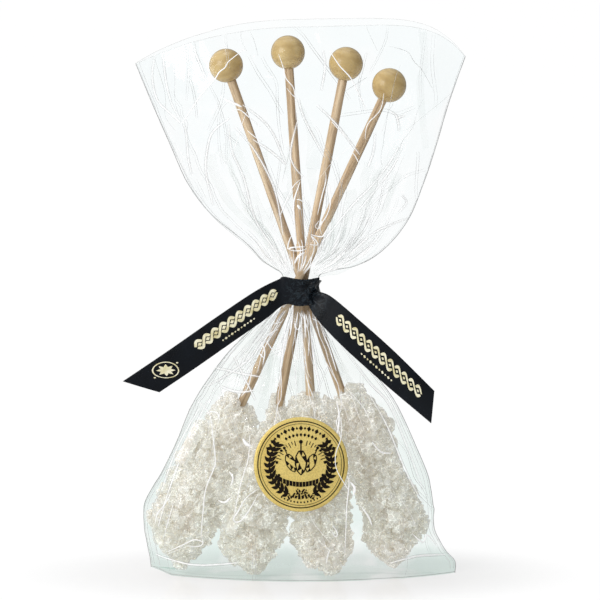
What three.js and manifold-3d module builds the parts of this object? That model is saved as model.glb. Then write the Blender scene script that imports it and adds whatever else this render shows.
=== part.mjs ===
// Pack of four rock candy sticks: wooden sticks with a ball at one end and a cluster of sugar crystals
// at the other, stood in a clear film bag that a satin ribbon ties at its neck, with a round label.
//
// Millimetres. X runs to the right, Y away from the front, Z up. The bag stands on Z = 0, and the
// origin is the middle of the pack's bounding box, at the bottom.

import * as THREE from 'three';
import { mergeVertices } from 'three/addons/utils/BufferGeometryUtils.js';
import Module from 'manifold-3d';

const wasm = await Module();
wasm.setup();

// ---------------------------------------------------------------- driving dimensions

const GAP = 0.3; // clearance between pieces that touch

// Sticks, left candy to right candy. They cross at the neck of the bag, so the left candy's ball is
// the right one. "ball" is the ball's centre and "foot" the stick's lower end, inside the candy.
const STICK_RADIUS = 1.5;
const STICK_SIDES = 14;
const BALL_RADIUS = 5.5;
const BALL_SIDES = 14;
const STICKS = [
  { ball: [30.4, -10.4, 160.3], foot: [-38.3, 2.2, 9.5] },
  { ball: [16.6, 1.1, 166.1], foot: [-14.7, -6.7, 6.4] },
  { ball: [-2.1, 7.9, 169.2], foot: [8.7, -6.6, 6.6] },
  { ball: [-22.1, 8.1, 164.9], foot: [32.7, 1.6, 9.5] },
];

// Candies: the two ends of each one's middle line, how far that line bows sideways, and the girth.
const CANDIES = [
  { top: [-19.0, -1.6, 57.5], tip: [-36.6, 1.0, 2.2], bow: -2.4, radius: 12.6, seed: 11 },
  { top: [-6.0, -3.8, 56.0], tip: [-13.4, -6.0, 1.4], bow: -1.2, radius: 10.6, seed: 29 },
  { top: [5.0, -2.6, 58.5], tip: [10.8, -6.2, 1.4], bow: 0.2, radius: 10.6, seed: 47 },
  { top: [18.0, 3.0, 61.0], tip: [32.6, 2.0, 2.4], bow: 1.6, radius: 10.6, seed: 83 },
];
// Girth along a candy, from its top to its tip, as parts of its radius.
const CANDY_GIRTH = [0.3, 0.66, 0.8, 0.82, 0.86, 0.93, 1.0, 1.0, 0.86, 0.6, 0.2];
const CANDY_DEPTH = 0.9; // depth of a candy for its width
const CANDY_SIDES = 8;
const CANDY_ROWS = 6;
const CRYSTALS = 33; // on each candy
const CRYSTAL_HALF = [1.8, 3.4]; // smallest and largest half length of a crystal
const CRYSTAL_WEDGE = [0.55, 0.9]; // width of a crystal's cut end, as a part of its full width
const CRYSTAL_LEAN = 0.25; // most sideways lean of a crystal, for its height
const CRYSTAL_TILT = 0.65; // most turn of a crystal away from standing straight out, in radians
const CRYSTAL_STAND = 0.5; // how far a crystal's middle stands out of the core
const CORE_INSET = 2.3; // depth of the crystals' layer
const CORE_SPAN = [0.04, 0.96]; // where along a candy its core's first and last rings lie

// Film. Each station is [height, left edge, right edge, half depth, how pinched the edges are]:
// 0.5 is a round edge and 1 is a sharp one.
const FILM = 0.6;
const BASE_FILM = 0.8;
const POUCH = [
  [0, -46.6, 52.4, 17.0, 0.86],
  [3.8, -47.0, 52.4, 17.2, 0.8],
  [7.0, -47.5, 49.4, 17.3, 0.72],
  [11.0, -48.1, 47.0, 17.4, 0.62],
  [15.0, -48.7, 45.4, 17.5, 0.53],
  [22.5, -48.6, 45.0, 17.5, 0.5],
  [27.0, -46.4, 44.4, 17.4, 0.5],
  [33.0, -43.0, 43.0, 17.1, 0.5],
  [42.0, -38.6, 39.2, 16.2, 0.5],
  [51.0, -34.6, 35.2, 14.8, 0.5],
  [57.5, -31.2, 31.8, 13.6, 0.5],
  [64.0, -27.0, 27.0, 12.3, 0.5],
  [72.0, -21.4, 20.2, 11.2, 0.5],
  [80.0, -13.8, 14.0, 10.2, 0.5],
  [86.0, -8.8, 11.0, 10.0, 0.5],
  [89.5, -6.5, 9.5, 9.7, 0.5],
  [93.0, -5.0, 8.1, 9.3, 0.5],
  [97.6, -4.5, 8.0, 9.2, 0.5],
];
// Film above the neck: [left edge, its height, right edge, its height, half depth].
const RUFF = [
  [-5.6, 99.4, 11.0, 99.0, 9.6],
  [-9.8, 103.0, 19.6, 100.8, 10.4],
  [-15.6, 108.6, 28.6, 106.4, 11.6],
  [-26.6, 117.8, 36.4, 115.6, 13.6],
  [-34.0, 128.0, 41.6, 127.4, 15.8],
  [-39.8, 140.0, 45.8, 140.4, 18.2],
  [-45.4, 152.6, 49.8, 154.0, 19.8],
  [-51.0, 166.4, 55.2, 168.6, 20.0],
];
// A section's half depth is (1 - across ** swell) ** pinch. The pouch's is round, the ruff's a lens
// with sharper edges and a broad middle.
const POUCH_SWELL = 2;
const RUFF_SWELL = 3;
const NECK_PINCH = 0.5;
const RUFF_PINCH = 0.62;
const RIM_CROWN = 12.0; // how far the middle of the rim stands over its two corners
const RIM_FALL = { left: 2, right: 6 }; // powers of its fall to them, an even curve and a late one
const FILM_COLUMNS = 40;
const ROOM_COLUMNS = 28; // of the room inside it that the candies keep to
const PLEAT_COLUMNS = 4; // columns of the film's mesh to one pleat
const PLEAT_DEPTH = 1.3;
const PLEATS_FROM = 58; // height where the pleats start
const PLEATS_FULL = 80; // height where they are as deep as they get
const PLEATS_TIED = [84, 91]; // heights over which the ribbon presses them flat
const PLEATS_LEFT = 0.3; // depth that is left of them there

// Ribbon: a band round the neck, a knot on its front and two tails, each between its two edges.
const RIBBON = 0.6;
const WRAP_HEIGHTS = [89.2, 92.8, 97.2];
const KNOT_SIZE = [10.6, 3.6, 9.0];
const KNOT_CENTRE = [1.9, -12.9, 93.4];
const LEFT_TAIL = {
  upper: [
    [-3.9, -12.6, 97.6], [-12.6, -13.6, 94.0], [-24.0, -15.0, 86.6],
    [-40.0, -16.2, 75.6], [-55.2, -17.2, 65.4],
  ],
  lower: [
    [-3.9, -12.6, 89.4], [-9.2, -13.6, 85.0], [-19.2, -15.0, 78.2],
    [-32.0, -16.2, 69.4], [-43.4, -17.2, 61.8],
  ],
};
const RIGHT_TAIL = {
  upper: [
    [7.6, -10.0, 93.8], [12.4, -12.6, 91.6], [20.4, -15.6, 85.4],
    [32.0, -16.8, 75.2], [45.0, -17.8, 62.4],
  ],
  lower: [
    [4.4, -11.2, 88.6], [8.2, -12.8, 83.8], [16.0, -15.6, 76.0],
    [28.4, -16.8, 65.0], [44.0, -17.8, 51.8],
  ],
};
const TAIL_CROWN = 0.5; // how far the middle of a tail bulges forwards

// Label, a disc that follows the front of the bag.
const LABEL_RADIUS = 15.2;
const LABEL_CENTRE = [2.1, 38.8]; // across and up
const LABEL_THICK = 0.4;

// ---------------------------------------------------------------- materials

const standard = (color, roughness, metalness = 0, extra = {}) =>
  new THREE.MeshStandardMaterial({ color, roughness, metalness, ...extra });

const MATERIALS = {
  film: standard(0xe8f4f4, 0.08, 0, { transparent: true, opacity: 0.2 }),
  sugar: standard(0xdcd6ca, 0.25),
  stick: standard(0xc4a67c, 0.6),
  ball: standard(0xd8bf86, 0.3),
  ribbon: standard(0x15161a, 0.45),
  label: standard(0xc9a54f, 0.35, 0.6),
};

// ---------------------------------------------------------------- helpers

// Repeatable random numbers from 0 to 1.
function randomFrom(seed) {
  let state = seed >>> 0;
  return () => {
    state = (state + 0x6d2b79f5) >>> 0;
    let t = Math.imul(state ^ (state >>> 15), 1 | state);
    t = (t + Math.imul(t ^ (t >>> 7), 61 | t)) ^ t;
    return ((t ^ (t >>> 14)) >>> 0) / 4294967296;
  };
}

const lerp = THREE.MathUtils.lerp;
const smoothstep = THREE.MathUtils.smoothstep;

// A value on the smooth curve through evenly spaced values, for t from 0 to 1.
function along(values, t) {
  const s = THREE.MathUtils.clamp(t, 0, 1) * (values.length - 1);
  const i = Math.min(Math.floor(s), values.length - 2);
  const before = values[Math.max(i - 1, 0)];
  const after = values[Math.min(i + 2, values.length - 1)];
  const [from, to, f] = [values[i], values[i + 1], s - i];
  const slopeFrom = (to - before) / 2;
  const slopeTo = (after - from) / 2;
  const [f2, f3] = [f * f, f * f * f];
  return (2 * f3 - 3 * f2 + 1) * from + (f3 - 2 * f2 + f) * slopeFrom
    + (3 * f2 - 2 * f3) * to + (f3 - f2) * slopeTo;
}

function geometryOf(points, triangles) {
  const geometry = new THREE.BufferGeometry();
  geometry.setAttribute('position', new THREE.Float32BufferAttribute(points.flat(), 3));
  geometry.setIndex(triangles.flat());
  return geometry;
}

// Joins rows of equal closed rings, from the top one down and each of them clockwise seen from above,
// into one skin, and closes it at both ends with a fan to a point.
function loft(rings, startPoint, endPoint) {
  const sides = rings[0].length;
  const points = rings.flat();
  const triangles = [];
  for (let row = 0; row + 1 < rings.length; row++) {
    for (let i = 0; i < sides; i++) {
      const a = row * sides + i;
      const b = row * sides + ((i + 1) % sides);
      triangles.push([a, b, b + sides], [a, b + sides, a + sides]);
    }
  }
  const last = (rings.length - 1) * sides;
  const start = points.push(startPoint) - 1;
  const end = points.push(endPoint) - 1;
  for (let i = 0; i < sides; i++) {
    const j = (i + 1) % sides;
    triangles.push([start, j, i], [end, last + i, last + j]);
  }
  return geometryOf(points, triangles);
}

function toSolid(geometry) {
  const bare = geometry.clone();
  bare.deleteAttribute('normal');
  bare.deleteAttribute('uv');
  const merged = mergeVertices(bare, 1e-4);
  return new wasm.Manifold(new wasm.Mesh({
    numProp: 3,
    vertProperties: new Float32Array(merged.attributes.position.array),
    triVerts: new Uint32Array(merged.index.array),
  }));
}

// The outer skin of a solid alone: without what fusing left inside it or broke off it.
function outerSkin(solid) {
  const { vertProperties, triVerts, numProp } = solid.getMesh();
  const owner = Array.from({ length: vertProperties.length / numProp }, (_, i) => i);
  const find = (i) => {
    while (owner[i] !== i) i = owner[i] = owner[owner[i]];
    return i;
  };
  for (let t = 0; t < triVerts.length; t += 3) {
    owner[find(triVerts[t])] = find(triVerts[t + 1]);
    owner[find(triVerts[t + 1])] = find(triVerts[t + 2]);
  }
  const skins = new Map();
  for (let t = 0; t < triVerts.length; t += 3) {
    const key = find(triVerts[t]);
    if (!skins.has(key)) skins.set(key, []);
    skins.get(key).push(triVerts[t], triVerts[t + 1], triVerts[t + 2]);
  }
  const largest = [...skins.values()].sort((a, b) => b.length - a.length)[0];
  const geometry = new THREE.BufferGeometry();
  geometry.setAttribute('position', new THREE.BufferAttribute(new Float32Array(vertProperties), numProp));
  geometry.setIndex(largest);
  return mergeVertices(geometry, 1e-4);
}

function named(name, geometry, material) {
  const mesh = new THREE.Mesh(geometry, material);
  mesh.name = name;
  return mesh;
}

const UP = new THREE.Vector3(0, 1, 0); // the axis of three.js cylinders and lathes

// Places a piece made along the Y axis so that it starts at one point and runs towards another.
function aim(object, from, towards) {
  const direction = new THREE.Vector3(...towards).sub(new THREE.Vector3(...from)).normalize();
  object.quaternion.setFromUnitVectors(UP, direction);
  object.position.set(...from);
  return object;
}

// ---------------------------------------------------------------- sticks and balls

function stickGeometry(length, radius) {
  const profile = [[0, 0], [radius * 0.8, 0], [radius, radius * 0.3], [radius, length], [0, length]];
  return new THREE.LatheGeometry(profile.map(([x, y]) => new THREE.Vector2(x, y)), STICK_SIDES);
}

function stickLength({ ball, foot }) {
  return new THREE.Vector3(...ball).distanceTo(new THREE.Vector3(...foot)) - GAP;
}

function stick(index) {
  const { ball, foot } = STICKS[index];
  const geometry = stickGeometry(stickLength(STICKS[index]), STICK_RADIUS);
  return aim(named(`stick_${index + 1}`, geometry, MATERIALS.stick), foot, ball);
}

// A ball with a blind hole to its centre, from below, that the stick goes into.
function ball(index) {
  const { ball: centre, foot } = STICKS[index];
  const hole = STICK_RADIUS + GAP;
  const start = Math.asin(hole / BALL_RADIUS);
  const profile = [new THREE.Vector2(0, 0), new THREE.Vector2(hole, 0)];
  for (let i = 0; i <= BALL_SIDES / 2; i++) {
    const angle = lerp(start, Math.PI, i / (BALL_SIDES / 2));
    profile.push(new THREE.Vector2(BALL_RADIUS * Math.sin(angle), -BALL_RADIUS * Math.cos(angle)));
  }
  profile.at(-1).x = 0;
  const geometry = new THREE.LatheGeometry(profile, BALL_SIDES);
  const upwards = centre.map((value, axis) => 2 * value - foot[axis]);
  return aim(named(`ball_${index + 1}`, geometry, MATERIALS.ball), centre, upwards);
}

// ---------------------------------------------------------------- candies

function candyMiddle({ top, tip, bow }, t) {
  return new THREE.Vector3(...top).lerp(new THREE.Vector3(...tip), t)
    .add(new THREE.Vector3(bow * Math.sin(Math.PI * t), 0, 0));
}

// A point on the core of a candy, for t from top to tip and an angle round it.
function candyPoint(candy, t, angle, inset) {
  const girth = Math.max(along(CANDY_GIRTH, t) * candy.radius - inset, 0.6);
  const point = candyMiddle(candy, t);
  point.x += girth * Math.cos(angle);
  point.y += girth * CANDY_DEPTH * Math.sin(angle);
  return point;
}

function candyCore(candy) {
  const rings = [];
  for (let row = 0; row <= CANDY_ROWS; row++) {
    const t = lerp(...CORE_SPAN, row / CANDY_ROWS);
    const ring = [];
    for (let i = 0; i < CANDY_SIDES; i++) {
      const angle = -(i / CANDY_SIDES) * 2 * Math.PI;
      ring.push(candyPoint(candy, t, angle, CORE_INSET).toArray());
    }
    rings.push(ring);
  }
  return loft(rings, candyMiddle(candy, 0.02).toArray(), candyMiddle(candy, 0.98).toArray());
}

// One angular crystal: a block whose two ends are cut to different wedges.
function crystalGeometry(random) {
  const half = () => lerp(...CRYSTAL_HALF, random() ** 1.4);
  const geometry = new THREE.BoxGeometry(2 * half(), 2 * half() * 0.9, 2 * half() * 1.15);
  const position = geometry.attributes.position;
  const wedge = lerp(...CRYSTAL_WEDGE, random());
  const lean = lerp(-CRYSTAL_LEAN, CRYSTAL_LEAN, random());
  for (let i = 0; i < position.count; i++) {
    const end = position.getZ(i);
    const taper = end > 0 ? wedge : 1;
    position.setX(i, position.getX(i) * taper + lean * end);
    position.setY(i, position.getY(i) * (end > 0 ? 1 : wedge));
  }
  return geometry;
}

function crystalsOn(candy) {
  const random = randomFrom(candy.seed);
  const goldenAngle = Math.PI * (3 - Math.sqrt(5));
  const crystals = [];
  for (let i = 0; i < CRYSTALS; i++) {
    const t = lerp(0.02, 0.985, (i + 0.2 + 0.6 * random()) / CRYSTALS);
    const angle = i * goldenAngle + (random() - 0.5) * 0.7;
    const surface = candyPoint(candy, t, angle, CORE_INSET);
    const outward = surface.clone().sub(candyMiddle(candy, lerp(t, 0.5, 0.22))).normalize();
    const turn = new THREE.Quaternion().setFromUnitVectors(new THREE.Vector3(0, 0, 1), outward);
    const [tiltX, tiltY] = [random(), random()].map((draw) => lerp(-CRYSTAL_TILT, CRYSTAL_TILT, draw));
    const tilt = new THREE.Quaternion().setFromEuler(new THREE.Euler(tiltX, tiltY, random() * Math.PI));
    const middle = surface.addScaledVector(outward, CRYSTAL_STAND);
    const place = new THREE.Matrix4().compose(middle, turn.multiply(tilt), new THREE.Vector3(1, 1, 1));
    crystals.push(toSolid(crystalGeometry(random).applyMatrix4(place)));
  }
  return crystals;
}

// A block that fills the far side of the plane half way between two candies, seen from the first.
function beyondNeighbour(candy, other) {
  const [top, otherTop] = [candy, other].map((c) => candyMiddle(c, 0.1));
  const [tip, otherTip] = [candy, other].map((c) => candyMiddle(c, 0.8));
  const upper = top.clone().lerp(otherTop, 0.5);
  const lower = tip.clone().lerp(otherTip, 0.5);
  const acrossTop = otherTop.clone().sub(top).normalize();
  const acrossTip = otherTip.clone().sub(tip).normalize();
  const across = acrossTop.add(acrossTip).normalize();
  const rise = upper.clone().sub(lower).normalize();
  across.addScaledVector(rise, -across.dot(rise)).normalize();
  const size = 120;
  const block = new THREE.BoxGeometry(size, size, size);
  const middle = lower.lerp(upper, 0.5).addScaledVector(across, size / 2 - GAP / 2);
  const basis = new THREE.Matrix4().makeBasis(across, new THREE.Vector3().crossVectors(rise, across), rise);
  return toSolid(block.applyMatrix4(basis.setPosition(middle)));
}

function stickHole(index) {
  const { ball: upper, foot } = STICKS[index];
  const start = new THREE.Vector3(...foot);
  const direction = new THREE.Vector3(...upper).sub(start).normalize();
  const geometry = stickGeometry(stickLength(STICKS[index]), STICK_RADIUS + GAP);
  const hole = aim(new THREE.Mesh(geometry), start.addScaledVector(direction, -GAP).toArray(), upper);
  hole.updateMatrix();
  return toSolid(geometry.clone().applyMatrix4(hole.matrix));
}

// The room inside the film, a gap away from it.
function pouchRoom() {
  const clear = FILM * 1.2 + GAP;
  const floor = BASE_FILM + GAP;
  const heights = [floor, ...POUCH.map(([height]) => height).filter((height) => height > floor)].reverse();
  const rings = heights.map((height) => filmRing(pouchSection(height), 0, clear, 0, ROOM_COLUMNS));
  const middle = (height) => {
    const { left, right } = pouchSection(height);
    return [(left + right) / 2, 0, height];
  };
  return toSolid(loft(rings, middle(heights[0]), middle(heights.at(-1))));
}

function candy(index) {
  const shape = CANDIES[index];
  let solid = toSolid(candyCore(shape));
  for (const crystal of crystalsOn(shape)) solid = solid.add(crystal);
  solid = solid.intersect(pouchRoom());
  for (const neighbour of [index - 1, index + 1]) {
    if (CANDIES[neighbour]) solid = solid.subtract(beyondNeighbour(shape, CANDIES[neighbour]));
  }
  STICKS.forEach((_, i) => { solid = solid.subtract(stickHole(i)); });
  return named(`candy_${index + 1}`, outerSkin(solid), MATERIALS.sugar);
}

// ---------------------------------------------------------------- film bag

// The bag's section at a height below the ruff.
function pouchSection(height) {
  const upper = Math.max(1, POUCH.findIndex(([z]) => z >= height));
  const from = POUCH[upper - 1];
  const to = POUCH[upper];
  const f = (height - from[0]) / (to[0] - from[0]);
  const [, left, right, depth, pinch] = from.map((value, i) => lerp(value, to[i], f));
  const heights = { leftHeight: height, rightHeight: height, crown: 0 };
  return { left, right, depth, pinch, swell: POUCH_SWELL, ...heights };
}

function ruffSection([left, leftHeight, right, rightHeight, depth], index) {
  const crown = RIM_CROWN * ((index + 1) / RUFF.length) ** 1.6;
  const opened = smoothstep(index, -1, 4);
  const swell = lerp(POUCH_SWELL, RUFF_SWELL, opened);
  const pinch = lerp(NECK_PINCH, RUFF_PINCH, opened);
  return { left, leftHeight, right, rightHeight, depth, pinch, swell, crown };
}

// Depth of a section at a place across it, from 0 in the middle to 1 at an edge, as a part of its most.
function bowAt({ pinch, swell }, across) {
  return Math.max(1 - Math.abs(across) ** swell, 0) ** pinch;
}

// Half the bag's depth at a place across a section.
function depthAt(section, x) {
  const { left, right, depth } = section;
  return depth * bowAt(section, (2 * x - left - right) / (right - left));
}

// One ring of the film. Pleats stand out of it, and "inset" and "lift" give its inner face.
function filmRing(section, pleatDepth, inset, lift, columns = FILM_COLUMNS) {
  const { left, right, leftHeight, rightHeight, depth, crown } = section;
  const middle = (left + right) / 2;
  const half = (right - left) / 2;
  const ring = [];
  for (let i = 0; i < columns; i++) {
    const angle = -(i / columns) * 2 * Math.PI;
    const across = Math.cos(angle);
    const sign = Math.sign(Math.sin(angle));
    const fold = 1 - Math.abs(2 * ((i % PLEAT_COLUMNS) / PLEAT_COLUMNS) - 1);
    const uneven = 0.65 + 0.35 * Math.cos(2.4 * Math.floor(i / PLEAT_COLUMNS) + 1);
    const stand = 1 + (pleatDepth * fold * uneven) / Math.max(half, depth);
    const bow = bowAt(section, across);
    const fall = across < 0 ? RIM_FALL.left : RIM_FALL.right;
    ring.push([
      middle + (half - inset) * across * stand,
      (depth - inset) * sign * bow * stand,
      lerp(leftHeight, rightHeight, (across + 1) / 2) + crown * (1 - Math.abs(across) ** fall) + lift,
    ]);
  }
  return ring;
}

function bag() {
  const rings = { outer: [], inner: [] };
  for (const [height] of POUCH) {
    const section = pouchSection(height);
    const tied = lerp(1, PLEATS_LEFT, smoothstep(height, ...PLEATS_TIED));
    const pleats = PLEAT_DEPTH * smoothstep(height, PLEATS_FROM, PLEATS_FULL) * tied;
    rings.outer.push(filmRing(section, pleats, 0, 0));
    rings.inner.push(filmRing(section, pleats, FILM * 1.2, height === 0 ? BASE_FILM : 0));
  }
  rings.inner[0] = filmRing(pouchSection(BASE_FILM), 0, FILM * 1.2, 0);
  RUFF.forEach((row, index) => {
    const section = ruffSection(row, index);
    const pleats = PLEAT_DEPTH * lerp(0.5, 1.3, smoothstep(index, 0, 4));
    rings.outer.push(filmRing(section, index === RUFF.length - 1 ? 0 : pleats, 0, -FILM));
    rings.inner.push(filmRing(section, index === RUFF.length - 1 ? 0 : pleats, FILM, 0));
  });
  const sides = FILM_COLUMNS;
  const points = [...rings.outer.flat(), ...rings.inner.flat()];
  const inside = rings.outer.length * sides; // first point of the inner face
  const triangles = [];
  const wall = (first, outward) => {
    for (let row = 0; row + 1 < rings.outer.length; row++) {
      for (let i = 0; i < sides; i++) {
        const a = first + row * sides + i;
        const b = first + row * sides + ((i + 1) % sides);
        const faces = [[a, b + sides, b], [a, a + sides, b + sides]];
        triangles.push(...faces.map((face) => (outward ? face : face.toReversed())));
      }
    }
  };
  wall(0, true);
  wall(inside, false);
  const middle = (POUCH[0][1] + POUCH[0][2]) / 2;
  const floor = points.push([middle, 0, 0]) - 1;
  const innerFloor = points.push([middle, 0, BASE_FILM]) - 1;
  const rim = (rings.outer.length - 1) * sides;
  for (let i = 0; i < sides; i++) {
    const j = (i + 1) % sides;
    triangles.push([floor, i, j], [innerFloor, inside + j, inside + i]);
    triangles.push([rim + i, inside + rim + j, rim + j], [rim + i, inside + rim + i, inside + rim + j]);
  }
  return named('bag', geometryOf(points, triangles), MATERIALS.film);
}

// ---------------------------------------------------------------- ribbon

// The band round the neck follows the film at its own heights.
function ribbonWrap() {
  const ringAt = (height, out) => {
    const section = pouchSection(Math.min(height, POUCH.at(-1)[0]));
    return filmRing(section, 0, -out, 0).map(([x, y]) => [x, y, height]);
  };
  const away = GAP + PLEAT_DEPTH * 0.4;
  const outer = WRAP_HEIGHTS.map((height) => ringAt(height, away + RIBBON));
  const inner = WRAP_HEIGHTS.toReversed().map((height) => ringAt(height, away));
  const rings = [...outer, ...inner, outer[0]];
  const sides = FILM_COLUMNS;
  const triangles = [];
  for (let row = 0; row + 1 < rings.length; row++) {
    const next = row + 2 === rings.length ? 0 : row + 1;
    for (let i = 0; i < sides; i++) {
      const j = (i + 1) % sides;
      const [a, b, c, d] = [row * sides + i, row * sides + j, next * sides + j, next * sides + i];
      triangles.push([a, c, b], [a, d, c]);
    }
  }
  return named('ribbon_wrap', geometryOf(rings.slice(0, -1).flat(), triangles), MATERIALS.ribbon);
}

// The knot is a soft block, crossed by the fold of the upper turn.
function ribbonKnot() {
  const geometry = new THREE.SphereGeometry(1, 16, 10);
  const position = geometry.attributes.position;
  const boxy = (value) => Math.sign(value) * Math.abs(value) ** 0.55;
  for (let i = 0; i < position.count; i++) {
    const [x, y, z] = [position.getX(i), position.getY(i), position.getZ(i)];
    const crease = 1 - 0.14 * Math.exp(-(((x + z * 0.8) / 0.25) ** 2));
    position.setXYZ(i,
      (boxy(x) * KNOT_SIZE[0]) / 2, (boxy(y) * KNOT_SIZE[1] * crease) / 2, (boxy(z) * KNOT_SIZE[2]) / 2);
  }
  geometry.translate(...KNOT_CENTRE);
  return named('ribbon_knot', geometry, MATERIALS.ribbon);
}

// A strip of ribbon between two edges, with a shallow crown across it.
function ribbonTail(name, { upper, lower }, side) {
  const steps = 12;
  const across = 4;
  const [upperEdge, lowerEdge] = [upper, lower].map(
    (edge) => new THREE.CatmullRomCurve3(edge.map((point) => new THREE.Vector3(...point))));
  const rings = [];
  for (let step = 0; step <= steps; step++) {
    const place = (side < 0 ? steps - step : step) / steps;
    const [from, to] = [upperEdge, lowerEdge].map((edge) => edge.getPoint(place));
    const face = (offset) => Array.from({ length: across + 1 }, (_, i) => {
      const point = from.clone().lerp(to, i / across);
      point.y += offset - TAIL_CROWN * Math.sin((Math.PI * i) / across);
      return point.toArray();
    });
    rings.push([...face(-RIBBON / 2), ...face(RIBBON / 2).toReversed()]);
  }
  const sides = rings[0].length;
  const points = rings.flat();
  const triangles = [];
  for (let row = 0; row < steps; row++) {
    for (let i = 0; i < sides; i++) {
      const a = row * sides + i;
      const b = row * sides + ((i + 1) % sides);
      triangles.push([a, b, b + sides], [a, b + sides, a + sides]);
    }
  }
  const last = steps * sides;
  for (let i = 0; i < across; i++) {
    const back = sides - 1 - i;
    triangles.push([i, back, back - 1], [i, back - 1, i + 1]);
    triangles.push([last + i, last + back - 1, last + back], [last + i, last + i + 1, last + back - 1]);
  }
  return named(name, geometryOf(points, triangles), MATERIALS.ribbon);
}

// ---------------------------------------------------------------- label

function label() {
  const rounds = 2;
  const sides = 32;
  const face = (offset) => {
    const at = (x, z) => [x, -depthAt(pouchSection(z), x) - GAP - offset, z];
    const points = [at(...LABEL_CENTRE)];
    for (let round = 1; round <= rounds; round++) {
      for (let i = 0; i < sides; i++) {
        const angle = (i / sides) * 2 * Math.PI;
        const radius = (LABEL_RADIUS * round) / rounds;
        const [x, z] = [radius * Math.cos(angle), radius * Math.sin(angle)];
        points.push(at(LABEL_CENTRE[0] + x, LABEL_CENTRE[1] + z));
      }
    }
    return points;
  };
  const front = face(LABEL_THICK);
  const points = [...front, ...face(0)];
  const triangles = [];
  for (let i = 0; i < sides; i++) {
    const j = (i + 1) % sides;
    const faces = [[0, 1 + i, 1 + j]];
    for (let round = 0; round + 1 < rounds; round++) {
      const [a, b] = [1 + round * sides + i, 1 + round * sides + j];
      faces.push([a, a + sides, b + sides], [a, b + sides, b]);
    }
    for (const triangle of faces) {
      triangles.push(triangle, triangle.map((k) => k + front.length).toReversed());
    }
    const [a, b] = [1 + (rounds - 1) * sides + i, 1 + (rounds - 1) * sides + j];
    triangles.push([a, a + front.length, b + front.length], [a, b + front.length, b]);
  }
  return named('label', geometryOf(points, triangles), MATERIALS.label);
}

// ---------------------------------------------------------------- the pack

const pack = new THREE.Group();
pack.add(bag());
STICKS.forEach((_, index) => pack.add(stick(index), ball(index), candy(index)));
pack.add(ribbonWrap(), ribbonKnot());
pack.add(ribbonTail('ribbon_tail_left', LEFT_TAIL, -1), ribbonTail('ribbon_tail_right', RIGHT_TAIL, 1));
pack.add(label());

export default pack;
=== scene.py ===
# Pack of four rock candy sticks in a clear film bag, tied at its neck with a black satin ribbon.
#
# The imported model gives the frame: metres, X to the right, -Y to the front, Z up, standing on Z = 0.
# Lengths below are in millimetres, and every mesh is made in them and turned into metres at the end.
# Each kind of piece has a section of its own: film, its creases, candies, sticks, ribbon and label.

import math

import bmesh
import bpy
import numpy as np
from mathutils import Matrix, Vector
from mathutils.bvhtree import BVHTree
from mathutils.geometry import delaunay_2d_cdt

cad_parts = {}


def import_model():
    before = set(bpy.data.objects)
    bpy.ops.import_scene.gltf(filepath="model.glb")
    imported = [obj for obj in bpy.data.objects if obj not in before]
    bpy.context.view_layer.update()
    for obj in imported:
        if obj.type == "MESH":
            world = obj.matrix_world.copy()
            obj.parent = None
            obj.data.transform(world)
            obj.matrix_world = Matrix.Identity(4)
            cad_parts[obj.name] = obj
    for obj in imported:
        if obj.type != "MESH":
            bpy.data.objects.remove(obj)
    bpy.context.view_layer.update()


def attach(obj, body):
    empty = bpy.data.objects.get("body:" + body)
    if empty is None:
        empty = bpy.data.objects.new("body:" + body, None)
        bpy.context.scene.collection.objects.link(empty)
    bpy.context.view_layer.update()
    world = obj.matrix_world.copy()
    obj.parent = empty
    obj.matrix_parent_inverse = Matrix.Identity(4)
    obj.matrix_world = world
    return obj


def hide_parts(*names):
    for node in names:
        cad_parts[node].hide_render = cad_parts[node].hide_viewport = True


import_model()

MM = 0.001

# ---------------------------------------------------------------- driving dimensions, in millimetres

STICK_RADIUS = 1.5
BALL_RADIUS = 5.5
# Sticks, from the left candy to the right one: the ball's centre and the lower end, inside the candy.
STICKS = [
    ((30.4, -10.4, 160.3), (-38.3, 2.2, 9.5)),
    ((16.6, 1.1, 166.1), (-14.7, -6.7, 6.4)),
    ((-2.1, 7.9, 169.2), (8.7, -6.6, 6.6)),
    ((-22.1, 8.1, 164.9), (32.7, 1.6, 9.5)),
]

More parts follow.
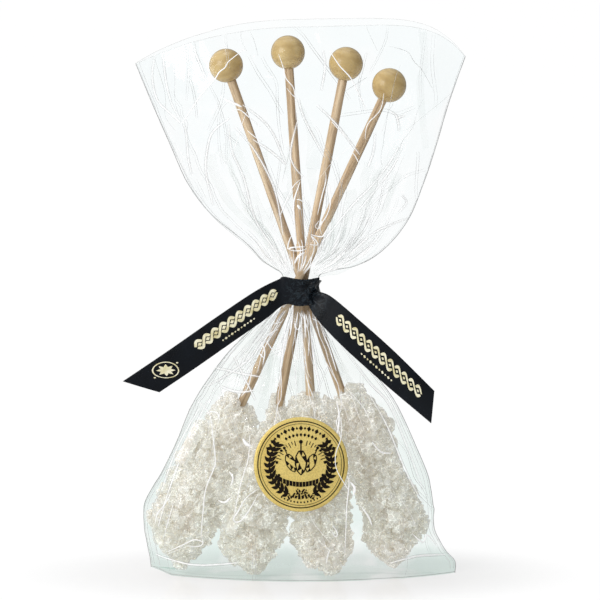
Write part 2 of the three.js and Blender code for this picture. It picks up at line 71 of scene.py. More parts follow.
# Candies: how far back the top and the tip lie, how thick the middle is from front to back, a seed,
# and the outline as rows of height, left edge and right edge.
CANDIES = [
    dict(back=(-1.6, 1.0), thick=20.5, seed=11, outline=[
        (57.8, -22.0, -18.4), (54.9, -26.1, -15.8), (51.6, -28.3, -12.8), (46.6, -32.9, -11.5),
        (37.4, -37.2, -15.0), (28.8, -43.4, -17.6), (21.2, -47.0, -20.3), (15.2, -47.2, -24.6),
        (11.2, -45.8, -26.9), (7.6, -42.9, -30.2), (4.2, -40.0, -33.4), (2.2, -38.2, -35.8)]),
    dict(back=(-3.8, -6.0), thick=18.5, seed=29, outline=[
        (57.0, -6.8, -4.6), (54.4, -8.2, -3.3), (48.0, -11.6, -3.0), (42.3, -14.6, -3.0),
        (33.2, -19.2, -2.9), (25.0, -22.1, -2.2), (18.4, -23.7, -1.8), (12.1, -23.8, -3.7),
        (6.8, -21.5, -6.9), (3.2, -18.0, -8.9), (1.4, -15.0, -11.6)]),
    dict(back=(-2.6, -6.2), thick=18.5, seed=47, outline=[
        (58.6, 2.8, 7.6), (55.1, -3.0, 12.7), (50.5, -3.0, 13.7), (41.4, -2.4, 15.7),
        (30.2, -1.8, 17.9), (24.3, -1.4, 18.6), (18.4, -0.6, 18.0), (13.8, -1.2, 19.3),
        (9.1, -0.1, 18.6), (5.5, 2.8, 17.0), (2.6, 8.0, 15.7), (1.4, 10.6, 14.0)]),
    dict(back=(3.0, 2.0), thick=18.5, seed=83, outline=[
        (60.6, 17.0, 20.6), (57.0, 13.3, 24.5), (53.0, 13.2, 28.4), (47.1, 14.1, 32.0),
        (42.5, 15.4, 33.0), (36.6, 17.1, 34.3), (28.6, 18.7, 37.6), (23.3, 20.4, 41.2),
        (16.7, 22.3, 43.2), (10.4, 22.8, 40.6), (6.7, 24.7, 38.0), (2.8, 30.6, 34.8)]),
]

# Film stations, upwards: left edge and its height, right edge and its height, half depth, how pinched
# the edges are (0.5 is round and 1 is sharp), and how far the middle stands over the edges.
FILM_STATIONS = [
    (-46.6, 0.0, 52.2, 0.0, 17.0, 0.86, 0.0),
    (-47.0, 3.8, 52.2, 3.8, 17.2, 0.80, 0.0),
    (-47.5, 7.0, 49.4, 7.0, 17.3, 0.72, 0.0),
    (-48.1, 11.0, 47.0, 11.0, 17.4, 0.62, 0.0),
    (-48.7, 15.0, 45.4, 15.0, 17.5, 0.53, 0.0),
    (-48.6, 22.5, 45.0, 22.5, 17.5, 0.50, 0.0),
    (-46.0, 28.0, 44.2, 28.0, 17.4, 0.50, 0.0),
    (-43.0, 33.0, 43.0, 33.0, 17.1, 0.50, 0.0),
    (-38.6, 42.0, 39.2, 42.0, 16.2, 0.50, 0.0),
    (-34.6, 51.0, 35.2, 51.0, 14.8, 0.50, 0.0),
    (-31.2, 57.5, 31.8, 57.5, 13.6, 0.50, 0.0),
    (-27.0, 64.0, 27.0, 64.0, 12.3, 0.50, 0.0),
    (-21.2, 72.0, 20.2, 72.0, 11.0, 0.50, 0.0),
    (-13.4, 80.0, 14.0, 80.0, 9.9, 0.50, 0.0),
    (-8.0, 86.0, 10.2, 86.0, 9.3, 0.48, 0.0),
    (-4.8, 89.5, 8.2, 89.5, 8.9, 0.46, 0.0),
    (-3.6, 93.0, 7.6, 93.0, 8.7, 0.45, 0.0),
    (-3.6, 96.6, 7.6, 96.6, 8.7, 0.45, 0.2),
    (-5.0, 99.4, 10.4, 99.0, 9.2, 0.5, 0.4),
    (-9.8, 103.0, 19.6, 100.8, 10.2, 0.54, 1.3),
    (-15.6, 108.6, 28.6, 106.4, 11.6, 0.58, 2.5),
    (-26.6, 117.8, 36.4, 115.6, 13.6, 0.61, 4.0),
    (-34.0, 128.0, 41.6, 127.4, 15.8, 0.62, 5.7),
    (-39.8, 140.0, 45.8, 140.4, 18.2, 0.62, 7.6),
    (-45.4, 152.6, 49.8, 154.0, 19.7, 0.62, 9.7),
    (-51.0, 166.4, 55.0, 168.6, 14.0, 0.62, 11.9),
]
# The ruff's section has a broader middle than the pouch's: the power of its curve, and the stations
# between which it changes.
POUCH_SWELL = 2.0
RUFF_SWELL = 3.0
RIM_FALL = {"left": 2.3, "right": 6.0}  # powers of the rim's fall to its corners
CORNER_LIFT = 1.9  # of the base's left corner
SWELL_STATIONS = (17.0, 22.0)
NECK_STATION = 16.4
NECK_HEIGHT = 94.0
FILM_COLUMNS = 400
FILM_ROWS = 240
# Pleats that run out from the neck: how many there are, how deep, and how far they reach.
PLEATS = [(13, 1.15, 46.0), (29, 0.62, 26.0), (53, 0.3, 13.0)]
# Crumples between flat facets: how many of their points lie in each 100 mm of height, and how far
# they stand.
CRUMPLE_POINTS = 210
CRUMPLE_HEIGHT = 0.55

# How much of the floor's look is even white, so that it meets the white behind it.
FLOOR_GLOW = 0.9
NEAR_GLOW = 0.36
FLOOR_HALF = 3000.0
FLOOR_HEIGHT = -0.4

LABEL_RADIUS = 15.2
LABEL_MIDDLE = (2.1, 38.2)
LABEL_STANDS = 0.3

RIBBON_THICK = 0.25
RIBBON_WIDTH = 10.0

# ---------------------------------------------------------------- helpers


def smoothstep(value, low, high):
    part = np.clip((np.asarray(value, float) - low) / (high - low), 0.0, 1.0)
    return part * part * (3.0 - 2.0 * part)


def along(rows, place):
    """Values on the smooth curve through evenly spaced rows, at places from 0 to the last row."""
    rows = np.asarray(rows, float)
    place = np.clip(np.atleast_1d(np.asarray(place, float)), 0.0, len(rows) - 1.0)
    at = np.minimum(place.astype(int), len(rows) - 2)
    part = (place - at)[:, None]
    before = rows[np.maximum(at - 1, 0)]
    here, there = rows[at], rows[at + 1]
    after = rows[np.minimum(at + 2, len(rows) - 1)]
    bend = 2.0 * before - 5.0 * here + 4.0 * there - after
    turn = 3.0 * (here - there) + after - before
    return 0.5 * (2.0 * here + (there - before) * part + bend * part**2 + turn * part**3)


def grid_faces(rows, columns, wrap=True):
    """Quads between rows of points, as an array; with wrap the last column meets the first."""
    last = columns if wrap else columns - 1
    row, column = np.meshgrid(np.arange(rows - 1), np.arange(last), indexing="ij")
    here = (row * columns + column).ravel()
    beside = (row * columns + (column + 1) % columns).ravel()
    return np.stack([here, beside, beside + columns, here + columns], axis=1)


def tube_faces(rings, sides):
    """Quads between closed rings of points, and a cap at each end."""
    caps = [list(range(sides - 1, -1, -1)), [(rings - 1) * sides + side for side in range(sides)]]
    return grid_faces(rings, sides).tolist() + caps


def round_angles(count):
    return np.arange(count) / count * 2.0 * math.pi


def unit(vectors):
    """The same vectors, each of length one."""
    return vectors / np.maximum(np.linalg.norm(vectors, axis=-1, keepdims=True), 1e-9)


def aside(line):
    """Ways to the left of each point of a flat line."""
    ahead = unit(np.gradient(np.asarray(line, float), axis=0))
    return np.stack([-ahead[:, 1], ahead[:, 0]], axis=1)


def joined(parts):
    """The points and faces of many parts as one list of each."""
    points, faces = [], []
    for part_points, part_faces in parts:
        faces += [tuple(corner + len(points) for corner in face) for face in part_faces]
        points += [tuple(point) for point in part_points]
    return points, faces


def face_outwards(piece):
    mesh = bmesh.new()
    mesh.from_mesh(piece.data)
    bmesh.ops.recalc_face_normals(mesh, faces=mesh.faces)
    mesh.to_mesh(piece.data)
    mesh.free()
    return piece


def make_piece(name, points, faces, material, smooth=True):
    """A mesh object from points in millimetres and a list of faces."""
    mesh = bpy.data.meshes.new(name)
    mesh.from_pydata((np.asarray(points, float) * MM).tolist(), [], [list(map(int, f)) for f in faces])
    mesh.validate()
    mesh.polygons.foreach_set("use_smooth", [smooth] * len(mesh.polygons))
    mesh.materials.append(material)
    piece = bpy.data.objects.new(name, mesh)
    bpy.context.collection.objects.link(piece)
    return piece


def mount(piece, slot, *nodes):
    """Puts a piece on the pack's body in place of the nodes it stands for, which it hides. The slot is not
    used.
    """
    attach(piece, "root")
    if nodes:
        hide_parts(*nodes)
    return piece


def add(tree, kind, sockets=None, **settings):
    """A shader node with its settings, its values and its links."""
    node = tree.nodes.new(kind)
    for key, value in settings.items():
        setattr(node, key, value)
    for key, value in (sockets or {}).items():
        if isinstance(value, bpy.types.NodeSocket):
            tree.links.new(value, node.inputs[key])
        else:
            node.inputs[key].default_value = value
    return node


def ramp(tree, factor, stops, smooth=False):
    """A colour ramp; each stop is a place and a grey or a colour."""
    node = add(tree, "ShaderNodeValToRGB", {"Fac": factor})
    node.color_ramp.interpolation = "EASE" if smooth else "LINEAR"
    elements = node.color_ramp.elements
    while len(elements) < len(stops):
        elements.new(0.5)
    for element, (place, tone) in zip(elements, stops):
        element.position = place
        shade = (tone,) * 3 if isinstance(tone, (int, float)) else tone[:3]
        element.color = (*shade, 1.0)
    return node.outputs["Color"]


def math_node(tree, operation, first, second=0.0, third=0.5, clamp=False):
    node = add(tree, "ShaderNodeMath", {0: first, 1: second, 2: third}, operation=operation, use_clamp=clamp)
    return node.outputs[0]


def mix_colour(tree, factor, first, second, blend="MIX"):
    node = add(tree, "ShaderNodeMix", {0: factor, 6: first, 7: second}, data_type="RGBA", blend_type=blend)
    return node.outputs[2]


def colour(red, green, blue):
    """A shader colour from the usual display values of 0 to 255."""
    def linear(value):
        part = value / 255.0
        return part / 12.92 if part <= 0.04045 else ((part + 0.055) / 1.055) ** 2.4
    return (linear(red), linear(green), linear(blue), 1.0)


def new_material(name):
    material = bpy.data.materials.new(name)
    material.use_nodes = True
    material.node_tree.nodes.clear()
    return material, material.node_tree


def finish_material(tree, shader):
    add(tree, "ShaderNodeOutputMaterial", {"Surface": shader.outputs[0]})


def new_group(name, inputs, outputs):
    """A node group with named sockets; inputs and outputs are (name, kind, value) and (name, kind)."""
    group = bpy.data.node_groups.new(name, "ShaderNodeTree")
    for socket_name, kind, value in inputs:
        socket = group.interface.new_socket(socket_name, in_out="INPUT", socket_type=kind)
        if value is not None:
            socket.default_value = value
    for socket_name, kind in outputs:
        group.interface.new_socket(socket_name, in_out="OUTPUT", socket_type=kind)
    return group, group.nodes.new("NodeGroupInput"), group.nodes.new("NodeGroupOutput")


# ---------------------------------------------------------------- shared effects


def grain_group():
    """Wood grain along the vector's Z: long fibres, and slower changes of tone."""
    group, given, result = new_group(
        "wood_grain",
        [("Vector", "NodeSocketVector", None), ("Fibre", "NodeSocketFloat", 900.0),
         ("Stretch", "NodeSocketFloat", 0.05)],
        [("Fibres", "NodeSocketFloat"), ("Tone", "NodeSocketFloat")])
    squeeze = add(group, "ShaderNodeCombineXYZ", {"X": 1.0, "Y": 1.0, "Z": given.outputs["Stretch"]})
    long = add(group, "ShaderNodeVectorMath", {0: given.outputs["Vector"], 1: squeeze.outputs[0]},
               operation="MULTIPLY")
    fibres = add(group, "ShaderNodeTexNoise",
                 {"Vector": long.outputs[0], "Scale": given.outputs["Fibre"], "Detail": 5.0,
                  "Roughness": 0.65})
    slow_scale = math_node(group, "MULTIPLY", given.outputs["Fibre"], 0.3)
    tone = add(group, "ShaderNodeTexNoise",
               {"Vector": long.outputs[0], "Scale": slow_scale, "Detail": 2.0, "Distortion": 0.4})
    group.links.new(fibres.outputs[0], result.inputs["Fibres"])
    group.links.new(tone.outputs[0], result.inputs["Tone"])
    return group


def mottle_group():
    """Soft clouds and fine specks over a surface."""
    group, given, result = new_group(
        "mottle",
        [("Vector", "NodeSocketVector", None), ("Cloud", "NodeSocketFloat", 120.0),
         ("Speck", "NodeSocketFloat", 1500.0)],
        [("Clouds", "NodeSocketFloat"), ("Specks", "NodeSocketFloat")])
    clouds = add(group, "ShaderNodeTexNoise",
                 {"Vector": given.outputs["Vector"], "Scale": given.outputs["Cloud"], "Detail": 4.0})
    specks = add(group, "ShaderNodeTexNoise",
                 {"Vector": given.outputs["Vector"], "Scale": given.outputs["Speck"], "Detail": 2.0})
    group.links.new(clouds.outputs[0], result.inputs["Clouds"])
    group.links.new(specks.outputs[0], result.inputs["Specks"])
    return group


GRAIN = grain_group()
MOTTLE = mottle_group()


def object_place(tree):
    return add(tree, "ShaderNodeTexCoord").outputs["Object"]


def mottled(tree, cloud, speck):
    """Clouds and specks of the given scales."""
    node = add(tree, "ShaderNodeGroup",
               {"Vector": object_place(tree), "Cloud": cloud, "Speck": speck}, node_tree=MOTTLE)
    return node.outputs["Clouds"], node.outputs["Specks"]


def grained(tree, fibre, stretch):
    """Fibres and tone of wood grain."""
    node = add(tree, "ShaderNodeGroup",
               {"Vector": object_place(tree), "Fibre": fibre, "Stretch": stretch}, node_tree=GRAIN)
    return node.outputs["Fibres"], node.outputs["Tone"]


# ---------------------------------------------------------------- materials


WHITE = (1.0, 1.0, 1.0, 1.0)


def camera_ray(tree):
    return add(tree, "ShaderNodeLightPath").outputs["Is Camera Ray"]


def times(tree, first, second, share=1.0):
    return mix_colour(tree, share, first, second, "MULTIPLY")


def outline_painted_shade(tree, base, stops):
    """The base, darker where the surface turns away from view: painted shade at the outline."""
    turned = add(tree, "ShaderNodeLayerWeight", {"Blend": 0.5}).outputs["Facing"]
    return times(tree, base, ramp(tree, turned, stops))


def bump(tree, strength, distance, height):
    return add(tree, "ShaderNodeBump",
               {"Strength": strength, "Distance": distance, "Height": height}).outputs[0]


def principled(tree, sockets):
    return add(tree, "ShaderNodeBsdfPrincipled", sockets)


def cells(tree, scale):
    """How far a place is from the edge of its cell, for cells of a size."""
    node = add(tree, "ShaderNodeTexVoronoi",
               {"Vector": object_place(tree), "Scale": scale, "Randomness": 1.0}, feature="DISTANCE_TO_EDGE")
    return node.outputs["Distance"]


def finish_mixed(tree, share, first, second):
    """Ends a material with two shaders and the share of the second."""
    shaders = {0: share, 1: first.outputs[0], 2: second.outputs[0]}
    finish_material(tree, add(tree, "ShaderNodeMixShader", shaders))


def film_material():
    """Thin clear film: a pale blue-green tint, with painted shade that deepens it low in the bag and where it
    is seen edge on.

    Only what is looked at through it is tinted, so the light inside the bag stays full.
    """
    material, tree = new_material("clear_film")
    height = add(tree, "ShaderNodeSeparateXYZ", {0: object_place(tree)}).outputs["Z"]
    low = math_node(tree, "DIVIDE", height, 0.18, clamp=True)
    # Painted shade: the tint deepens low in the bag, where the film lies in shadow.
    tint = ramp(tree, low, [(0.0, (0.865, 0.92, 0.90)), (0.12, (0.90, 0.942, 0.927)),
                            (0.34, (0.955, 0.973, 0.965)), (0.5, (0.972, 0.984, 0.98)),
                            (0.58, (0.988, 0.996, 0.996)), (0.8, (0.975, 0.993, 0.995))])
    clouds, specks = mottled(tree, 46.0, 240.0)
    patches = ramp(tree, clouds, [(0.52, 0.0), (0.62, 0.7)])
    tint = mix_colour(tree, patches, tint, (0.996, 0.998, 0.998, 1.0))
    # Painted shade at the film's outline, where it is seen edge on.
    tint = outline_painted_shade(tree, tint, [(0.0, 1.0), (0.85, 0.99), (1.0, (0.9, 0.92, 0.915))])
    seen = camera_ray(tree)
    clear = add(tree, "ShaderNodeBsdfTransparent", {"Color": mix_colour(tree, seen, WHITE, tint)})
    rippled = bump(tree, 0.12, 0.0006, specks)
    gloss = principled(tree, {"Base Color": (0.94, 0.97, 0.97, 1.0), "Metallic": 1.0, "Roughness": 0.07,
                              "Normal": rippled})
    mirror = add(tree, "ShaderNodeFresnel", {"IOR": 1.45, "Normal": rippled}).outputs[0]
    share = math_node(tree, "MINIMUM", math_node(tree, "MULTIPLY", mirror, 0.6), 0.07)
    back = add(tree, "ShaderNodeNewGeometry").outputs["Backfacing"]
    outside = math_node(tree, "MULTIPLY_ADD", back, -0.8, 1.0)
    share = math_node(tree, "MULTIPLY", math_node(tree, "MULTIPLY", share, outside), seen)
    finish_mixed(tree, share, clear, gloss)
    return material


def line_material(name, least, most, brightness, glow):
    """A sharp line in the film, painted: its grey is painted shade against the light, and its pale white,
    with a faint glow, is a painted highlight against what is dark.

    Between least and most of it is white, and the rest lets what is behind it through.
    """
    material, tree = new_material(name)
    clouds, specks = mottled(tree, 240.0, 1400.0)
    share = math_node(tree, "MULTIPLY", ramp(tree, clouds, [(0.34, least), (0.62, most)]), camera_ray(tree))
    clear = add(tree, "ShaderNodeBsdfTransparent", {"Color": (0.985, 0.99, 0.99, 1.0)})
    shade = ramp(tree, specks, [(0.3, brightness * 0.9), (0.7, brightness)])
    # Painted highlight: a white, faintly glowing surface that stands in for the crease's glint.
    white = principled(tree, {"Base Color": shade, "Roughness": 0.3, "Emission Color": WHITE,
                              "Emission Strength": glow})
    finish_mixed(tree, share, clear, white)
    return material


def band_material():
    """Film that lies double in a pleat and so is a little greyer."""
    material, tree = new_material("doubled_film")
    clouds = mottled(tree, 150.0, 1400.0)[0]
    tint = ramp(tree, clouds, [(0.35, (0.99, 0.993, 0.99)), (0.65, (0.95, 0.96, 0.955))])
    seen = camera_ray(tree)
    clear = add(tree, "ShaderNodeBsdfTransparent", {"Color": mix_colour(tree, seen, WHITE, tint)})
    gloss = principled(tree, {"Base Color": (0.92, 0.95, 0.95, 1.0), "Roughness": 0.12})
    finish_mixed(tree, math_node(tree, "MULTIPLY", seen, 0.04), clear, gloss)
    return material


def sugar_material():
    """Clear off-white sugar: milky inside, with painted shade in its hollows, between the crystals and at its
    outline, a faint painted glow, and painted glints on a few facets and along crystal edges.
    """
    material, tree = new_material("sugar_crystals")
    facet, proud = [add(tree, "ShaderNodeAttribute", attribute_name=name).outputs["Fac"]
                    for name in ("facet", "proud")]
    clouds, specks = mottled(tree, 260.0, 1100.0)
    # Tone that differs at random from facet to facet, white on the few facets that stand for glints: partly a
    # painted highlight.
    base = ramp(tree, facet, [(0.0, colour(246, 244, 238)), (0.6, colour(250, 249, 245)),
                              (0.9, colour(252, 252, 249)), (0.97, colour(255, 255, 255))])
    # Painted shade: darker and browner where the surface lies below the candy's mean surface.
    hollow_painted_shade = ramp(tree, math_node(tree, "MULTIPLY_ADD", proud, 0.25, clamp=True),
                  [(0.0, (0.93, 0.905, 0.86)), (0.45, (0.98, 0.97, 0.95)), (0.7, 1.0)])
    base = times(tree, base, hollow_painted_shade)
    base = times(tree, base, ramp(tree, clouds, [(0.3, (0.96, 0.95, 0.92)), (0.65, 1.0)]))
    base = times(tree, base, (0.87, 0.86, 0.845, 1.0))
    # Painted shade: brown lines between crystal cells.
    seam_painted_shade = ramp(tree, cells(tree, 620.0),
                 [(0.0, (0.74, 0.69, 0.62)), (0.05, (0.95, 0.935, 0.91)), (0.12, 1.0)])
    base = times(tree, base, seam_painted_shade, 0.85)
    base = outline_painted_shade(tree, base, [(0.0, 1.0), (0.72, 0.98), (1.0, (0.66, 0.63, 0.57))])
    # Painted light as emission: an even faint glow, sparks on a few facets and glints along crystal edges.
    painted_glow_colour = (0.103, 0.103, 0.099)
    spark = ramp(tree, math_node(tree, "MULTIPLY", facet, specks),
                 [(0.0, painted_glow_colour), (0.6, painted_glow_colour), (0.66, (0.5, 0.5, 0.48))])
    painted_edge_glints = ramp(tree, cells(tree, 430.0), [(0.0, 0.42), (0.03, 0.24), (0.055, 0.0)])
    painted_edge_glints = times(tree, painted_edge_glints, ramp(tree, clouds, [(0.48, 0.0), (0.58, 1.0)]))
    finish_material(tree, principled(tree, {
        "Base Color": base, "Roughness": ramp(tree, specks, [(0.35, 0.1), (0.7, 0.34)]), "IOR": 1.5,
        "Normal": bump(tree, 0.25, 0.0004, specks), "Subsurface Weight": 1.0,
        "Subsurface Radius": (1.0, 0.97, 0.9), "Subsurface Scale": 0.006, "Transmission Weight": 0.4,
        "Emission Color": mix_colour(tree, 1.0, spark, painted_edge_glints, "ADD"), "Emission Strength": 1.0}))
    return material


def stick_material():
    """Plain light wood with fibres along the stick, and painted shade at its outline."""
    material, tree = new_material("stick_wood")
    fibres, tone = grained(tree, 1500.0, 0.05)
    base = ramp(tree, tone, [(0.3, colour(168, 139, 104)), (0.52, colour(207, 180, 145)),
                             (0.72, colour(232, 210, 178))])
    base = times(tree, base, ramp(tree, fibres, [(0.36, (0.58, 0.52, 0.45)), (0.52, 1.0)]), 0.8)
    base = outline_painted_shade(tree, base, [(0.0, 1.0), (0.58, 0.97), (0.86, (0.62, 0.56, 0.48)),
                                       (1.0, (0.42, 0.35, 0.27))])
    finish_material(tree, principled(tree, {
        "Base Color": base, "Roughness": 0.55, "Normal": bump(tree, 0.35, 0.0003, fibres)}))
    return material


def ball_material():
    """Pale yellow varnished wood with faint turned rings, and painted shade at its outline."""
    material, tree = new_material("ball_wood")
    rings = add(tree, "ShaderNodeTexWave",
                {"Vector": object_place(tree), "Scale": 190.0, "Distortion": 3.0, "Detail": 3.0,
                 "Detail Scale": 1.4},
                wave_type="RINGS", rings_direction="Z", wave_profile="SIN").outputs["Fac"]
    tone = grained(tree, 420.0, 0.4)[1]
    base = ramp(tree, tone, [(0.3, colour(176, 146, 90)), (0.55, colour(195, 167, 111)),
                             (0.75, colour(212, 187, 134))])
    base = times(tree, base, ramp(tree, rings, [(0.0, (0.86, 0.82, 0.74)), (0.5, 1.0)]), 0.8)
    base = outline_painted_shade(tree, base, [(0.0, 1.0), (0.62, 0.97), (0.86, (0.7, 0.68, 0.6)),
                                       (1.0, (0.4, 0.38, 0.3))])
    finish_material(tree, principled(tree, {
        "Base Color": base, "Roughness": 0.45, "Normal": bump(tree, 0.12, 0.0004, rings),
        "Specular IOR Level": 0.3, "Coat Weight": 0.5, "Coat Roughness": 0.1}))
    return material


def ribbon_material():
    """Black satin: fine threads across the ribbon, a soft sheen, and painted sheen on crinkles at the knot.
    """
    material, tree = new_material("black_satin")
    place = object_place(tree)
    clouds, specks = mottled(tree, 160.0, 2600.0)
    # Painted sheen: paler bluish lines over a crinkle pattern near the knot.
    away = add(tree, "ShaderNodeVectorMath", {0: place, 1: (0.004, -0.011, 0.093)}, operation="DISTANCE")
    knot = ramp(tree, math_node(tree, "MULTIPLY", away.outputs["Value"], 100.0), [(0.4, 1.0), (0.9, 0.0)])
    crinkle_sheen = add(tree, "ShaderNodeTexNoise",
                   {"Vector": place, "Scale": 380.0, "Detail": 3.0, "Distortion": 1.4}).outputs[0]
    shine = times(tree, ramp(tree, crinkle_sheen, [(0.46, 0.0), (0.5, 1.0), (0.54, 0.0)]), knot)
    base = ramp(tree, clouds, [(0.3, colour(5, 9, 14)), (0.7, colour(10, 16, 24))])
    finish_material(tree, principled(tree, {
        "Base Color": mix_colour(tree, shine, base, colour(44, 54, 61)),
        "Roughness": ramp(tree, clouds, [(0.3, 0.2), (0.7, 0.48)]),
        "Normal": bump(tree, 0.25, 0.0002, specks), "Specular IOR Level": 0.15}))
    return material


def ink_material(name, cloud, stops, sockets):
    """Printing ink, a little uneven."""
    material, tree = new_material(name)
    base = ramp(tree, mottled(tree, cloud, 2200.0)[0], stops)
    finish_material(tree, principled(tree, {"Base Color": base, **sockets}))
    return material


def label_material():
    """Satin gold paper with fine flecks."""
    material, tree = new_material("gold_paper")
    clouds, specks = mottled(tree, 90.0, 2400.0)
    base = ramp(tree, clouds, [(0.3, colour(222, 194, 104)), (0.7, colour(240, 218, 134))])
    base = times(tree, base, ramp(tree, specks, [(0.38, (0.78, 0.75, 0.68)), (0.55, 1.0)]), 0.8)
    finish_material(tree, principled(tree, {
        "Base Color": base, "Roughness": 0.38, "Metallic": 0.25, "Normal": bump(tree, 0.12, 0.0001, specks),
        "Coat Weight": 0.2, "Coat Roughness": 0.2}))
    return material


def floor_material():
    """A white table top under even light, with a faint gloss and a faint shade under the bag."""
    material, tree = new_material("white_table")
    base = ramp(tree, mottled(tree, 3.0, 300.0)[0], [(0.3, 0.84), (0.7, 0.86)])
    table = principled(tree, {"Base Color": base, "Roughness": 0.1, "Specular IOR Level": 0.5})
    glow = add(tree, "ShaderNodeEmission", {"Color": WHITE, "Strength": 1.045})
    stretch = add(tree, "ShaderNodeVectorMath", {0: object_place(tree), 1: (9.5, 15.0, 1.0)},
                  operation="MULTIPLY")
    reach = add(tree, "ShaderNodeVectorMath", {0: stretch.outputs[0]}, operation="LENGTH").outputs["Value"]
    even = ramp(tree, reach, [(0.45, NEAR_GLOW), (1.0, FLOOR_GLOW)], smooth=True)
    finish_mixed(tree, math_node(tree, "MULTIPLY", camera_ray(tree), even), table, glow)
    return material


FILM = film_material()
# Painted lines of the film: crease glints are painted highlights; hairlines and edge lines are painted shade,
# with a faint painted highlight over dark things.
GLINT = line_material("film_crease_glint", 0.6, 0.95, 0.9, 0.25)
HAIRLINE = line_material("film_hairline", 0.2, 0.52, 0.6, 0.08)
EDGE_LINE = line_material("film_edge_line", 0.5, 0.8, 0.4, 0.04)
BAND = band_material()
SUGAR = sugar_material()
STICK_WOOD = stick_material()
BALL_WOOD = ball_material()
SATIN = ribbon_material()
GOLD_INK = ink_material("pale_gold_ink", 420.0,
                        [(0.32, colour(214, 203, 150)), (0.62, colour(248, 243, 214))], {"Roughness": 0.4})
GOLD_PAPER = label_material()
BROWN_INK = ink_material("dark_brown_ink", 500.0, [(0.35, colour(14, 8, 3)), (0.65, colour(30, 20, 8))],
                         {"Roughness": 0.5, "Specular IOR Level": 0.12})

# ---------------------------------------------------------------- film


def film_section(stations):
    return along(FILM_STATIONS, stations).T


def stations_evenly(first, last, rows):
    """Stations between two others, spaced so that the rows are evenly high."""
    dense = np.linspace(first, last, 2000)
    _, left_height, _, right_height, _, _, crown = film_section(dense)
    height = (left_height + right_height) / 2.0 + crown
    return np.interp(np.linspace(height[0], height[-1], rows), height, dense)


def smooth_film(stations, angles):
    """Points of the film before it is pleated and crumpled, and how far across each one lies."""
    left, left_height, right, right_height, depth, pinch, crown = [
        value[:, None] for value in film_section(stations)]
    across = np.cos(angles)[None, :]
    middle, half = (left + right) / 2.0, (right - left) / 2.0
    swell = POUCH_SWELL + (RUFF_SWELL - POUCH_SWELL) * smoothstep(stations, *SWELL_STATIONS)[:, None]
    bow = np.maximum(1.0 - np.abs(across) ** swell, 0.0) ** pinch
    x = middle + half * across
    y = np.sign(np.sin(angles))[None, :] * depth * bow
    z = left_height + (right_height - left_height) * (across + 1.0) / 2.0
    fall = np.where(across < 0.0, RIM_FALL["left"], RIM_FALL["right"])
    z = z + crown * (1.0 - np.abs(across) ** fall)
    z = z + CORNER_LIFT * smoothstep(-across, 0.84, 1.0) * (1.0 - smoothstep(z, 0.0, 12.0))
    return np.stack([x, y, z], axis=2), np.broadcast_to(across, x.shape)


def outward(points):
    """Normals of a closed grid of points whose rows run upwards."""
    round_it = np.roll(points, -1, axis=1) - np.roll(points, 1, axis=1)
    upwards = np.gradient(points, axis=0)
    return unit(np.cross(round_it, upwards))


def pleats(points, angles):
    """Folds that run out from the neck, finer and shallower by kind, and flat under the ribbon."""
    away = np.abs(points[:, :, 2] - NECK_HEIGHT)
    turn = np.broadcast_to(angles[None, :], away.shape)
    total = np.zeros_like(away)
    for folds, depth, reach in PLEATS:
        phase = folds * turn / (2.0 * math.pi) + 0.35 * np.sin(away / 13.0 + 5.0 * turn + folds)
        wave = 1.0 - np.abs(2.0 * (phase % 1.0) - 1.0)
        uneven = 0.62 + 0.38 * np.cos(3.0 * turn + 1.7 * folds)
        total += depth * wave * uneven * np.exp(-((away / reach) ** 1.4))
    return total * smoothstep(away, 4.5, 10.0)


def crumple(points, across, front, seed):
    """Flat facets that meet in sharp ridges, over one side of the film."""
    rng = np.random.default_rng(seed)
    low, high = points[:, :, 2].min() - 12.0, points[:, :, 2].max() + 12.0
    wide = 62.0
    count = int(CRUMPLE_POINTS * (high - low) / 100.0)
    spots = np.stack([rng.uniform(-wide, wide, count), rng.uniform(low, high, count)], axis=1)
    heights = rng.uniform(-1.0, 1.0, count)
    result = delaunay_2d_cdt([Vector(spot) for spot in spots], [], [], 0, 1e-6)
    spread = [Vector((v.x, v.y, heights[origin[0]])) for v, origin in zip(result[0], result[3])]
    tree = BVHTree.FromPolygons(spread, result[2])
    depth = np.zeros(across.shape)
    side = (points[:, :, 1] < 0.0) == front
    for row, column in zip(*np.nonzero(side)):
        spot = Vector((across[row, column] * 50.0, points[row, column, 2], 5.0))
        hit = tree.ray_cast(spot, Vector((0.0, 0.0, -1.0)))[0]
        depth[row, column] = hit.z if hit else 0.0
    return depth * (1.0 - np.abs(across) ** 5)


def near_label(points):
    """1 under the label and 0 away from it, on the front of the film."""
    reach = np.hypot(points[:, :, 0] - LABEL_MIDDLE[0], points[:, :, 2] - LABEL_MIDDLE[1])
    return (1.0 - smoothstep(reach, LABEL_RADIUS + 0.5, LABEL_RADIUS + 5.0)) * (points[:, :, 1] < 0.0)


def tent(points, line, front, height, reach):
    """A ridge along a line of (x, z) points, over one side of the film."""
    x, z = points[:, :, 0], points[:, :, 2]
    far = np.full(x.shape, 1e9)
    for (x0, z0), (x1, z1) in zip(line, line[1:]):
        length = max((x1 - x0) ** 2 + (z1 - z0) ** 2, 1e-9)
        part = np.clip(((x - x0) * (x1 - x0) + (z - z0) * (z1 - z0)) / length, 0.0, 1.0)
        far = np.minimum(far, np.hypot(x - x0 - part * (x1 - x0), z - z0 - part * (z1 - z0)))
    side = (points[:, :, 1] < 0.0) == front
    return height * np.maximum(1.0 - far / reach, 0.0) * side


